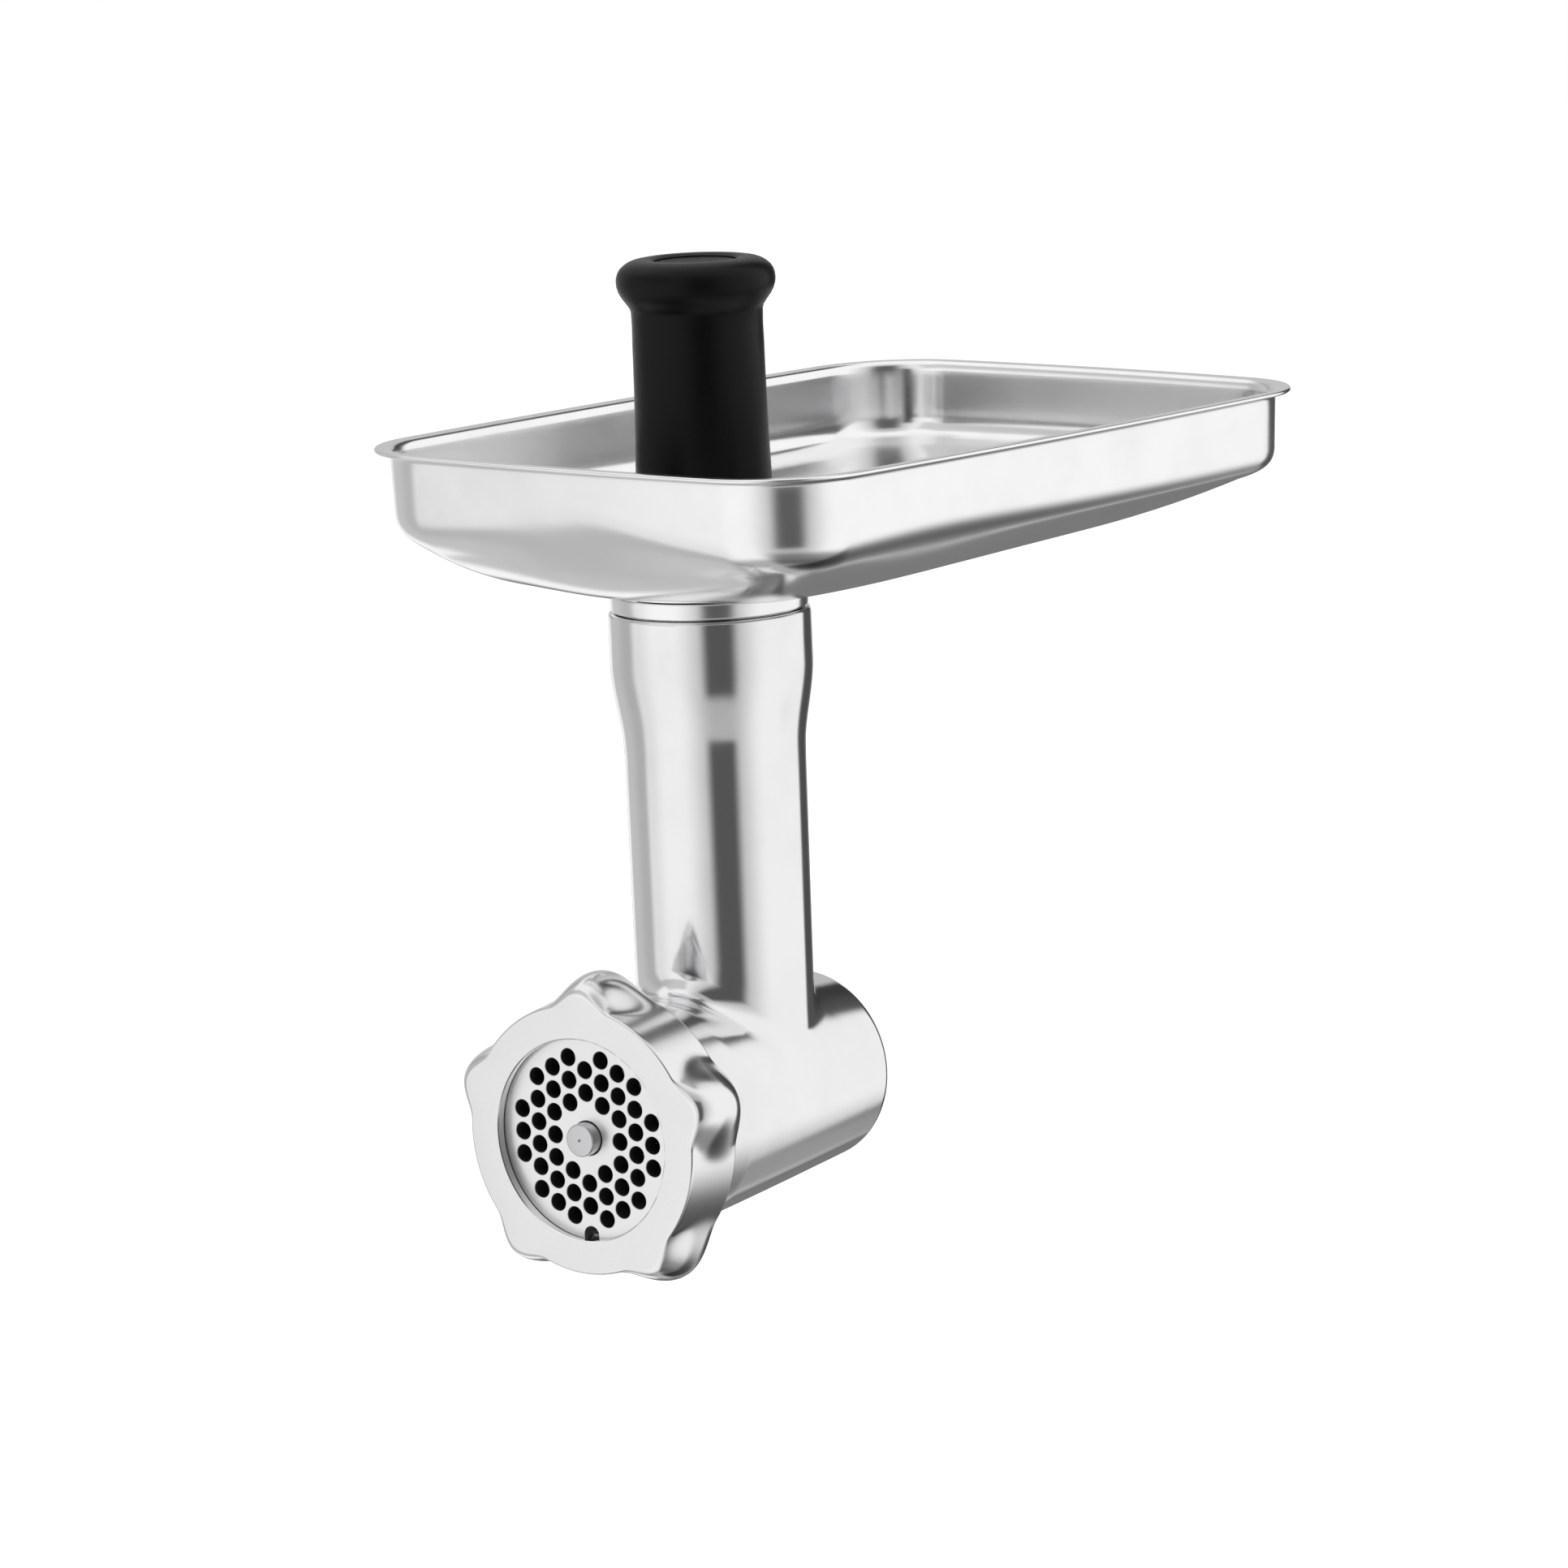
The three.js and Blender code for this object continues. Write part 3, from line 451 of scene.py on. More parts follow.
def new_group(name, kind, inputs, outputs):
    """An empty node group with named sockets, and its input and output nodes."""
    tree = bpy.data.node_groups.new(name, kind)
    for label, socket, default in inputs:
        item = tree.interface.new_socket(label, in_out="INPUT", socket_type=socket)
        if default is not None:
            item.default_value = default
    for label, socket in outputs:
        tree.interface.new_socket(label, in_out="OUTPUT", socket_type=socket)
    return tree, tree.nodes.new("NodeGroupInput"), tree.nodes.new("NodeGroupOutput")


def copies_tree():
    """Geometry nodes that set copies of a shape round the barrel's axis."""
    name = "copies_round_barrel"
    if name in bpy.data.node_groups:
        return bpy.data.node_groups[name]
    tree, given, result = new_group(
        name, "GeometryNodeTree",
        [("Geometry", "NodeSocketGeometry", None), ("Count", "NodeSocketInt", 3),
         ("First", "NodeSocketFloat", 0.0), ("Step", "NodeSocketFloat", 1.0),
         ("Material", "NodeSocketMaterial", None)],
        [("Geometry", "NodeSocketGeometry")])
    points = add_node(tree, "GeometryNodePoints", {"Count": given.outputs["Count"]})
    index = add_node(tree, "GeometryNodeInputIndex")
    turned_by = maths(tree, "MULTIPLY_ADD", index.outputs[0], given.outputs["Step"],
                      given.outputs["First"])
    spin = add_node(tree, "ShaderNodeCombineXYZ",
                    {"Y": maths(tree, "MULTIPLY", turned_by, -1.0)})
    copies = add_node(tree, "GeometryNodeInstanceOnPoints",
                      {"Points": points.outputs[0], "Instance": given.outputs["Geometry"],
                       "Rotation": spin.outputs[0]})
    real = add_node(tree, "GeometryNodeRealizeInstances", {"Geometry": copies.outputs[0]})
    painted = add_node(tree, "GeometryNodeSetMaterial",
                       {"Geometry": real.outputs[0], "Material": given.outputs["Material"]})
    tree.links.new(painted.outputs[0], result.inputs["Geometry"])
    return tree


def plate_tree():
    """Geometry nodes that fill a plate's two faces and pierce them with a field of holes, their
    walls in painted shade.

    The plate is drawn flat, its front face at 0 and its back at its thickness, then set upright.
    """
    tree, given, result = new_group(
        "pierced_plate", "GeometryNodeTree",
        [("Geometry", "NodeSocketGeometry", None), ("Pitch", "NodeSocketFloat", 0.0057),
         ("Hole", "NodeSocketFloat", 0.0022), ("Countersink", "NodeSocketFloat", 0.0001),
         ("Inner ring", "NodeSocketInt", 2), ("Outer ring", "NodeSocketInt", 4),
         ("Place", "NodeSocketFloat", 0.0), ("Thickness", "NodeSocketFloat", 0.005),
         ("Material", "NodeSocketMaterial", None),
         ("Hole material", "NodeSocketMaterial", None)],
        [("Geometry", "NodeSocketGeometry")])
    put = given.outputs
    sides = 40
    weld = 4e-6
    index = add_node(tree, "GeometryNodeInputIndex").outputs[0]
    across_count = maths(tree, "MULTIPLY_ADD", put["Outer ring"], 2.0, 1.0)
    row = maths(tree, "FLOOR", maths(tree, "DIVIDE", index, across_count))
    a = maths(tree, "SUBTRACT", row, put["Outer ring"])
    b = maths(tree, "SUBTRACT", maths(tree, "FLOORED_MODULO", index, across_count),
              put["Outer ring"])
    reach = [maths(tree, "ABSOLUTE", value) for value in (a, b, maths(tree, "ADD", a, b))]
    ring = maths(tree, "MAXIMUM", maths(tree, "MAXIMUM", reach[0], reach[1]), reach[2])
    least = maths(tree, "MINIMUM", maths(tree, "MINIMUM", reach[0], reach[1]), reach[2])
    too_near = maths(tree, "LESS_THAN", ring, maths(tree, "SUBTRACT", put["Inner ring"], 0.5))
    too_far = maths(tree, "GREATER_THAN", ring, maths(tree, "ADD", put["Outer ring"], 0.5))
    last = maths(tree, "GREATER_THAN", ring, maths(tree, "SUBTRACT", put["Outer ring"], 0.5))
    corner = maths(tree, "MULTIPLY", last, maths(tree, "LESS_THAN", least, 0.5))
    unwanted = maths(tree, "ADD", maths(tree, "ADD", too_near, too_far), corner)
    across = maths(tree, "MULTIPLY", maths(tree, "MULTIPLY", a, math.cos(math.radians(30))),
                   put["Pitch"])
    up = maths(tree, "MULTIPLY", maths(tree, "MULTIPLY_ADD", a, 0.5, b), put["Pitch"])
    place = add_node(tree, "ShaderNodeCombineXYZ", {"X": across, "Y": up})
    field = add_node(tree, "GeometryNodePoints",
                     {"Count": maths(tree, "MULTIPLY", across_count, across_count),
                      "Position": place.outputs[0]})
    chosen = add_node(tree, "GeometryNodeDeleteGeometry",
                      {"Geometry": field.outputs[0], "Selection": unwanted}, domain="POINT")
    wide = maths(tree, "ADD", put["Hole"], put["Countersink"])
    edges = add_node(tree, "GeometryNodeInputMeshEdgeNeighbors")
    open_edge = maths(tree, "LESS_THAN", edges.outputs[0], 1.5)
    height = add_node(tree, "ShaderNodeSeparateXYZ",
                      {0: add_node(tree, "GeometryNodeInputPosition").outputs[0]}).outputs["Z"]
    at_back = maths(tree, "GREATER_THAN", height, maths(tree, "MULTIPLY", put["Thickness"], 0.5))
    at_front = maths(tree, "SUBTRACT", 1.0, at_back)
    faces = []
    for chosen_end, radius, lift in ((at_front, wide, 0.0), (at_back, put["Hole"],
                                                             put["Thickness"])):
        border = add_node(tree, "GeometryNodeMeshToCurve",
                          {"Mesh": put["Geometry"],
                           "Selection": maths(tree, "MULTIPLY", open_edge, chosen_end)})
        circle = add_node(tree, "GeometryNodeCurvePrimitiveCircle",
                          {"Resolution": sides, "Radius": radius})
        circles = add_node(tree, "GeometryNodeInstanceOnPoints",
                           {"Points": chosen.outputs[0], "Instance": circle.outputs[0]})
        real = add_node(tree, "GeometryNodeRealizeInstances", {"Geometry": circles.outputs[0]})
        both = add_node(tree, "GeometryNodeJoinGeometry")
        tree.links.new(border.outputs[0], both.inputs[0])
        tree.links.new(real.outputs[0], both.inputs[0])
        filled = add_node(tree, "GeometryNodeFillCurve", {"Curve": both.outputs[0]})
        lifted = add_node(tree, "ShaderNodeCombineXYZ", {"Z": lift})
        faces.append(add_node(tree, "GeometryNodeTransform",
                              {"Geometry": filled.outputs[0],
                               "Translation": lifted.outputs[0]}))
    sink = put["Countersink"]
    bevel = add_node(tree, "GeometryNodeMeshCone",
                     {"Vertices": sides, "Radius Bottom": wide, "Radius Top": put["Hole"],
                      "Depth": sink}, fill_type="NONE")
    deep = maths(tree, "SUBTRACT", put["Thickness"], sink)
    wall = add_node(tree, "GeometryNodeMeshCone",
                    {"Vertices": sides, "Radius Bottom": put["Hole"],
                     "Radius Top": put["Hole"], "Depth": deep}, fill_type="NONE")
    wall_place = add_node(tree, "ShaderNodeCombineXYZ", {"Z": sink})
    wall_set = add_node(tree, "GeometryNodeTransform",
                        {"Geometry": wall.outputs[0], "Translation": wall_place.outputs[0]})
    # Painted shade: the hole walls take the near-black shade material, the countersinks keep the
    # plate's own finish.
    wall_painted = add_node(tree, "GeometryNodeSetMaterial",
                            {"Geometry": wall_set.outputs[0], "Material": put["Hole material"]})
    bevel_painted = add_node(tree, "GeometryNodeSetMaterial",
                             {"Geometry": bevel.outputs[0], "Material": put["Material"]})
    liner = add_node(tree, "GeometryNodeJoinGeometry")
    tree.links.new(bevel_painted.outputs[0], liner.inputs[0])
    tree.links.new(wall_painted.outputs[0], liner.inputs[0])
    liners = add_node(tree, "GeometryNodeInstanceOnPoints",
                      {"Points": chosen.outputs[0], "Instance": liner.outputs[0]})
    real_liners = add_node(tree, "GeometryNodeRealizeInstances",
                           {"Geometry": liners.outputs[0]})
    flats = add_node(tree, "GeometryNodeJoinGeometry")
    for part in (put["Geometry"], faces[0].outputs[0], faces[1].outputs[0]):
        tree.links.new(part, flats.inputs[0])
    painted = add_node(tree, "GeometryNodeSetMaterial",
                       {"Geometry": flats.outputs[0], "Material": put["Material"]})
    whole_plate = add_node(tree, "GeometryNodeJoinGeometry")
    tree.links.new(painted.outputs[0], whole_plate.inputs[0])
    tree.links.new(real_liners.outputs[0], whole_plate.inputs[0])
    joined = add_node(tree, "GeometryNodeMergeByDistance",
                      {"Geometry": whole_plate.outputs[0], "Distance": weld})
    set_place = add_node(tree, "ShaderNodeCombineXYZ", {"Y": put["Place"]})
    upright = add_node(tree, "GeometryNodeTransform",
                       {"Geometry": joined.outputs[0], "Translation": set_place.outputs[0],
                        "Rotation": (-math.pi / 2, 0.0, 0.0), "Scale": (1.0, -1.0, 1.0)})
    tree.links.new(upright.outputs[0], result.inputs["Geometry"])
    return tree


def grown(piece, tree, values):
    """Runs a tree on a piece and leaves its result as the piece's plain mesh."""
    modifier = piece.modifiers.new(tree.name, "NODES")
    modifier.node_group = tree
    for item in tree.interface.items_tree:
        if item.in_out == "INPUT" and item.name in values:
            modifier[item.identifier] = values[item.name]
    depsgraph = bpy.context.evaluated_depsgraph_get()
    result = bpy.data.meshes.new_from_object(piece.evaluated_get(depsgraph))
    piece.modifiers.remove(modifier)
    old = piece.data
    piece.data = result
    bpy.data.meshes.remove(old)
    result.name = piece.name
    tidy = bmesh.new()
    tidy.from_mesh(result)
    bmesh.ops.recalc_face_normals(tidy, faces=tidy.faces)
    tidy.to_mesh(result)
    tidy.free()
    result.polygons.foreach_set("use_smooth", [True] * len(result.polygons))
    result.set_sharp_from_angle(angle=math.radians(SHARP_ANGLE))


# ---------------------------------------------------------------- finishes


def polish_group():
    """Faint smears, haze and hairlines of a mirror polish."""
    name = "mirror_polish"
    if name in bpy.data.node_groups:
        return bpy.data.node_groups[name]
    tree, given, result = new_group(
        name, "ShaderNodeTree",
        [("Colour", "NodeSocketColor", (0.8, 0.8, 0.8, 1)), ("Gloss", "NodeSocketFloat", 0.05),
         ("Smear", "NodeSocketFloat", 0.05), ("Hairline", "NodeSocketFloat", 0.02),
         ("Stretch", "NodeSocketVector", (1.0, 1.0, 1.0))],
        [("Colour", "NodeSocketColor"), ("Roughness", "NodeSocketFloat"),
         ("Height", "NodeSocketFloat")])
    put = given.outputs
    place = add_node(tree, "ShaderNodeTexCoord").outputs["Object"]
    smear = add_node(tree, "ShaderNodeTexNoise",
                     {"Vector": place, "Scale": 38.0, "Detail": 4.0, "Roughness": 0.6})
    spread = add_node(tree, "ShaderNodeMapRange",
                      {"Value": smear.outputs[0], "From Min": 0.42, "From Max": 0.75})
    stretched = add_node(tree, "ShaderNodeVectorMath", {0: place, 1: put["Stretch"]},
                         operation="MULTIPLY")
    lines = add_node(tree, "ShaderNodeTexNoise",
                     {"Vector": stretched.outputs[0], "Scale": 900.0, "Detail": 2.0})
    fine = maths(tree, "SUBTRACT", lines.outputs[0], 0.5)
    rough = maths(tree, "MULTIPLY_ADD", spread.outputs[0], put["Smear"], put["Gloss"])
    rough = maths(tree, "MULTIPLY_ADD", fine, put["Hairline"], rough)
    dull = maths(tree, "MULTIPLY_ADD", spread.outputs[0], -0.05, 1.0)
    tint = add_node(tree, "ShaderNodeVectorMath", {0: put["Colour"], 1: dull},
                    operation="MULTIPLY")
    tree.links.new(tint.outputs[0], result.inputs["Colour"])
    tree.links.new(maths(tree, "MAXIMUM", rough, 0.01), result.inputs["Roughness"])
    tree.links.new(fine, result.inputs["Height"])
    return tree


def grain_group():
    """Fine grain with a soft mottle, for blasted, ground and moulded faces."""
    name = "fine_grain"
    if name in bpy.data.node_groups:
        return bpy.data.node_groups[name]
    tree, given, result = new_group(
        name, "ShaderNodeTree",
        [("Colour", "NodeSocketColor", (0.5, 0.5, 0.5, 1)), ("Gloss", "NodeSocketFloat", 0.4),
         ("Grain", "NodeSocketFloat", 2600.0), ("Contrast", "NodeSocketFloat", 0.1),
         ("Turning", "NodeSocketFloat", 0.0), ("Wear", "NodeSocketFloat", 0.05)],
        [("Colour", "NodeSocketColor"), ("Roughness", "NodeSocketFloat"),
         ("Height", "NodeSocketFloat")])
    put = given.outputs
    place = add_node(tree, "ShaderNodeTexCoord").outputs["Object"]
    grain = add_node(tree, "ShaderNodeTexNoise",
                     {"Vector": place, "Scale": put["Grain"], "Detail": 3.0})
    fine = maths(tree, "SUBTRACT", grain.outputs[0], 0.5)
    # Rings that a lathe leaves, round the barrel's axis.
    parts = add_node(tree, "ShaderNodeSeparateXYZ", {0: place})
    reach = maths(tree, "SQRT", maths(tree, "ADD",
                                      maths(tree, "POWER", parts.outputs["X"], 2.0),
                                      maths(tree, "POWER", parts.outputs["Z"], 2.0)))
    rings = add_node(tree, "ShaderNodeTexNoise",
                     {"W": maths(tree, "MULTIPLY", reach, 5200.0), "Scale": 1.0,
                      "Detail": 1.0}, noise_dimensions="1D")
    lathe = maths(tree, "MULTIPLY", maths(tree, "SUBTRACT", rings.outputs[0], 0.5),
                  put["Turning"])
    mottle = add_node(tree, "ShaderNodeTexNoise",
                      {"Vector": place, "Scale": 55.0, "Detail": 5.0, "Roughness": 0.65})
    patch = maths(tree, "SUBTRACT", mottle.outputs[0], 0.5)
    height = maths(tree, "ADD", fine, lathe)
    shade = maths(tree, "MULTIPLY_ADD", maths(tree, "ADD", fine, maths(
        tree, "MULTIPLY", lathe, 0.6)), put["Contrast"], 1.0)
    shade = maths(tree, "MULTIPLY_ADD", patch, put["Wear"], shade)
    tint = add_node(tree, "ShaderNodeVectorMath", {0: put["Colour"], 1: shade},
                    operation="MULTIPLY")
    rough = maths(tree, "MULTIPLY_ADD", patch, 0.12, put["Gloss"])
    rough = maths(tree, "MULTIPLY_ADD", fine, put["Contrast"], rough)
    tree.links.new(tint.outputs[0], result.inputs["Colour"])
    tree.links.new(rough, result.inputs["Roughness"])
    tree.links.new(height, result.inputs["Height"])
    return tree


def finish(name, group, values, metallic, bump, specular=0.5):
    """A material whose colour, roughness and relief come from a shared group."""
    label = name + "_finish"
    if label in bpy.data.materials:
        return bpy.data.materials[label]
    material = bpy.data.materials.new(label)
    material.use_nodes = True
    tree = material.node_tree
    shader = tree.nodes["Principled BSDF"]
    shader.inputs["Metallic"].default_value = metallic
    shader.inputs["Specular IOR Level"].default_value = specular
    surface = add_node(tree, "ShaderNodeGroup", node_tree=group)
    for key, value in values.items():
        surface.inputs[key].default_value = value
    tree.links.new(surface.outputs["Colour"], shader.inputs["Base Color"])
    tree.links.new(surface.outputs["Roughness"], shader.inputs["Roughness"])
    relief = add_node(tree, "ShaderNodeBump",
                      {"Height": surface.outputs["Height"], "Strength": 1.0,
                       "Distance": bump})
    tree.links.new(relief.outputs[0], shader.inputs["Normal"])
    return material


def solid_colour(value):
    """A colour property with full opacity."""
    return (*value, 1.0)


def polished_steel():
    """Mirror-polished steel of the tube and the barrel."""
    paint = bpy.context.scene.grinder_colours
    return finish("polished_steel", polish_group(),
                  {"Colour": solid_colour(paint.steel), "Gloss": 0.10, "Smear": 0.05,
                   "Hairline": 0.03, "Stretch": (1.0, 1.0, 0.08)}, 1.0, 0.4e-6)


def drawn_steel():
    """Bright drawn sheet of the tray and its collar."""
    paint = bpy.context.scene.grinder_colours
    return finish("drawn_steel", polish_group(),
                  {"Colour": solid_colour(paint.sheet), "Gloss": 0.17, "Smear": 0.07,
                   "Hairline": 0.04, "Stretch": (1.0, 0.15, 1.0)}, 1.0, 0.6e-6)


def ring_polish():
    """Polished sides of the ring nut."""
    paint = bpy.context.scene.grinder_colours
    return finish("ring_polish", polish_group(),
                  {"Colour": solid_colour(paint.steel), "Gloss": 0.15, "Smear": 0.05,
                   "Hairline": 0.03, "Stretch": (1.0, 0.3, 1.0)}, 1.0, 0.5e-6)


def blasted_face():
    """Fine satin of the ring nut's front face."""
    paint = bpy.context.scene.grinder_colours
    return finish("blasted_face", grain_group(),
                  {"Colour": solid_colour(paint.ground), "Gloss": 0.42, "Grain": 3200.0,
                   "Contrast": 0.10, "Turning": 0.25, "Wear": 0.05}, 1.0, 3e-6)


def ground_plate():
    """Ground satin of the plate and the knife."""
    paint = bpy.context.scene.grinder_colours
    return finish("ground_plate", grain_group(),
                  {"Colour": solid_colour(paint.ground), "Gloss": 0.38, "Grain": 2800.0,
                   "Contrast": 0.16, "Turning": 0.12, "Wear": 0.08}, 1.0, 4e-6)


def dark_burr():
    """Painted shade: dark, dull steel for walls that no light reaches, the holes and what lies
    behind them.
    """
    paint = bpy.context.scene.grinder_colours
    return finish("dark_burr", grain_group(),
                  {"Colour": solid_colour(paint.hole_shade), "Gloss": 0.55, "Grain": 2200.0,
                   "Contrast": 0.3, "Turning": 0.1, "Wear": 0.2}, 0.6, 4e-6)


def turned_steel():
    """Turned steel of shafts, the pin and the hub adapter."""
    paint = bpy.context.scene.grinder_colours
    return finish("turned_steel", grain_group(),
                  {"Colour": solid_colour(paint.machined), "Gloss": 0.27, "Grain": 2400.0,
                   "Contrast": 0.08, "Turning": 0.5, "Wear": 0.06}, 1.0, 3e-6)


def cast_steel():
    """Blasted casting of the auger."""
    paint = bpy.context.scene.grinder_colours
    return finish("cast_steel", grain_group(),
                  {"Colour": solid_colour(paint.ground), "Gloss": 0.36, "Grain": 1500.0,
                   "Contrast": 0.18, "Turning": 0.0, "Wear": 0.12}, 1.0, 6e-6)


def fastener_steel():
    """Bright steel of screws and pins."""
    paint = bpy.context.scene.grinder_colours
    return finish("fastener_steel", grain_group(),
                  {"Colour": solid_colour(paint.fastener), "Gloss": 0.24, "Grain": 2000.0,
                   "Contrast": 0.10, "Turning": 0.3, "Wear": 0.10}, 1.0, 3e-6)


def bearing_plastic():
    """Pale plastic of the bush and the washer."""
    paint = bpy.context.scene.grinder_colours
    return finish("bearing_plastic", grain_group(),
                  {"Colour": solid_colour(paint.acetal), "Gloss": 0.42, "Grain": 1800.0,
                   "Contrast": 0.05, "Turning": 0.1, "Wear": 0.04}, 0.0, 4e-6)


def seal_rubber():
    """Matt black rubber of the seals."""
    paint = bpy.context.scene.grinder_colours
    return finish("seal_rubber", grain_group(),
                  {"Colour": solid_colour(paint.rubber), "Gloss": 0.70, "Grain": 1200.0,
                   "Contrast": 0.20, "Turning": 0.0, "Wear": 0.15}, 0.0, 8e-6)


def pusher_plastic():
    """Black moulded plastic with a fine satin grain."""
    paint = bpy.context.scene.grinder_colours
    return finish("pusher_plastic", grain_group(),
                  {"Colour": solid_colour(paint.pusher), "Gloss": 0.36, "Grain": 1500.0,
                   "Contrast": 0.25, "Turning": 0.0, "Wear": 0.25}, 0.0, 14e-6, 0.14)


# ---------------------------------------------------------------- stage


def studio_card_group():
    """A dark card in the surroundings: 1 inside its span of azimuth and elevation."""
    tree, given, result = new_group(
        "studio_card", "ShaderNodeTree",
        [("Direction", "NodeSocketVector", (0.0, 0.0, 0.0)),
         ("Azimuth", "NodeSocketFloat", 0.0), ("Half width", "NodeSocketFloat", 0.3),
         ("Soft side", "NodeSocketFloat", 0.1), ("Low", "NodeSocketFloat", -0.5),
         ("High", "NodeSocketFloat", 0.5), ("Soft end", "NodeSocketFloat", 0.1)],
        [("Mask", "NodeSocketFloat")])
    put = given.outputs
    parts = add_node(tree, "ShaderNodeSeparateXYZ", {0: put["Direction"]})
    x, y, z = parts.outputs
    spread = maths(tree, "ARCTAN2", x, maths(tree, "MULTIPLY", y, -1.0))
    off = maths(tree, "SUBTRACT", spread, put["Azimuth"])
    wrapped = maths(tree, "ABSOLUTE", maths(tree, "WRAP", off, math.pi, -math.pi))
    side = add_node(tree, "ShaderNodeMapRange", {
        "Value": wrapped, "From Min": put["Half width"],
        "From Max": maths(tree, "ADD", put["Half width"], put["Soft side"]),
        "To Min": 1.0, "To Max": 0.0}, interpolation_type="SMOOTHSTEP")
    rise = maths(tree, "ARCSINE", z)
    above = add_node(tree, "ShaderNodeMapRange", {
        "Value": rise, "From Min": maths(tree, "SUBTRACT", put["Low"], put["Soft end"]),
        "From Max": put["Low"]}, interpolation_type="SMOOTHSTEP")
    below = add_node(tree, "ShaderNodeMapRange", {
        "Value": rise, "From Min": put["High"],
        "From Max": maths(tree, "ADD", put["High"], put["Soft end"]),
        "To Min": 1.0, "To Max": 0.0}, interpolation_type="SMOOTHSTEP")
    mask = maths(tree, "MULTIPLY", side.outputs[0],
                 maths(tree, "MULTIPLY", above.outputs[0], below.outputs[0]))
    tree.links.new(mask, result.inputs["Mask"])
    return tree


# Dark cards round the object, in degrees: azimuth, half width, soft side, low, high, soft end,
# darkness. Azimuth 0 is in front of the plate and 90 is on the +X side.
STUDIO_CARDS = (
    (45, 11, 14, -21, 45, 6, 0.80),
    (46, 8, 48, -40, 60, 25, 0.50),
    (-92, 22, 10, -60, 30, 15, 0.42),
    (-66, 10, 24, -60, 30, 15, 0.16),
    (-150, 12, 6, -50, -12, 12, 0.80),
    (-145, 26, 16, 5, 34, 9, 0.45),
    (-35, 24, 12, 22, 50, 8, 0.35),
    (182, 12, 6, -25, 50, 12, 0.92),
    (100, 70, 30, -75, -50, 20, 0.70),
    (162, 24, 16, -85, -42, 24, 0.78),
    (0, 180, 1, -90, -68, 20, 0.55),
)


def make_camera(studio):
    """The camera, in front of the object on its +X side and a little above it."""
    azimuth, elevation, roll = studio.camera_turn
    back = Vector((math.sin(azimuth) * math.cos(elevation),
                   -math.cos(azimuth) * math.cos(elevation), math.sin(elevation)))
    right = (-back).cross(Vector((0, 0, 1))).normalized()
    up = right.cross(-back)
    level = math.cos(roll) * right + math.sin(roll) * up
    upright = -math.sin(roll) * right + math.cos(roll) * up
    data = bpy.data.cameras.new("camera")
    data.lens = studio.lens
    data.sensor_width = 36
    data.clip_end = 50
    camera = bpy.data.objects.new("camera", data)
    turn = Matrix((level, upright, back)).transposed().to_4x4()
    camera.matrix_world = Matrix.Translation(studio.camera_place) @ turn
    bpy.context.scene.collection.objects.link(camera)
    bpy.context.scene.camera = camera


def make_surroundings(studio):
    """White surroundings with dark cards, which the camera itself sees as plain white."""
    world = bpy.data.worlds.new("studio")
    bpy.context.scene.world = world
    world.use_nodes = True
    tree = world.node_tree
    tree.nodes.clear()
    card = studio_card_group()
    direction = add_node(tree, "ShaderNodeTexCoord").outputs["Generated"]
    light = 1.0
    for azimuth, half, soft, lowest, highest, end, dark in STUDIO_CARDS:
        values = {"Azimuth": azimuth, "Half width": half, "Soft side": soft,
                  "Low": lowest, "High": highest, "Soft end": end}
        node = add_node(tree, "ShaderNodeGroup", node_tree=card)
        for key, value in values.items():
            node.inputs[key].default_value = math.radians(value)
        tree.links.new(direction, node.inputs["Direction"])
        light = maths(tree, "MULTIPLY", light,
                      maths(tree, "MULTIPLY_ADD", node.outputs[0], -dark, 1.0))
    reflected = maths(tree, "MULTIPLY", light, studio.sky)
    paths = add_node(tree, "ShaderNodeLightPath")
    strength = add_node(tree, "ShaderNodeMix", {
        "Factor": paths.outputs["Is Camera Ray"], "A": reflected, "B": 1.0})
    background = add_node(tree, "ShaderNodeBackground", {
        "Color": (1.0, 1.0, 1.0, 1.0), "Strength": strength.outputs["Result"]})
    output = add_node(tree, "ShaderNodeOutputWorld")
    tree.links.new(background.outputs[0], output.inputs["Surface"])


def make_floor(studio):
    """A plain pale disc under the object."""
    shell = Shell()
    count = 96
    turn = TURN * np.arange(count) / count
    radius = studio.floor_radius
    shell.disc(np.stack([radius * np.cos(turn), radius * np.sin(turn),
                         np.full(count, -studio.floor_drop)], 1))
    paint = bpy.context.scene.grinder_colours
    material = bpy.data.materials.new("pale_floor")
    material.use_nodes = True
    shader = material.node_tree.nodes["Principled BSDF"]
    shader.inputs["Base Color"].default_value = solid_colour(paint.floor)
    shader.inputs["Roughness"].default_value = 0.9
    shader.inputs["Emission Color"].default_value = solid_colour(paint.floor)
    shader.inputs["Emission Strength"].default_value = studio.floor_glow
    floor = shell.object("floor", [material])
    floor.visible_glossy = False


def make_light(name, place, target, size, power):
    """A large soft light that looks at a target."""
    data = bpy.data.lights.new(name, "AREA")
    data.shape = "RECTANGLE"
    data.size, data.size_y = size
    data.energy = power
    lamp = bpy.data.objects.new(name, data)
    lamp.location = place
    lamp.rotation_euler = (Vector(target) - Vector(place)).to_track_quat("-Z", "Y").to_euler()
    lamp.visible_camera = False
    lamp.visible_glossy = False
    bpy.context.scene.collection.objects.link(lamp)


# ---------------------------------------------------------------- housing


def barrel_radius(sizes, y):
    """Outer radius of the barrel at a place along it."""
    rear = -sizes.rear_rounding
    share = np.clip((rear - np.asarray(y, float)) / (sizes.cone_length - sizes.rear_rounding),
                    0, 1)
    bowed = share + 0.12 * share * (1 - share)
    return sizes.rear_radius + (sizes.front_radius - sizes.rear_radius) * bowed


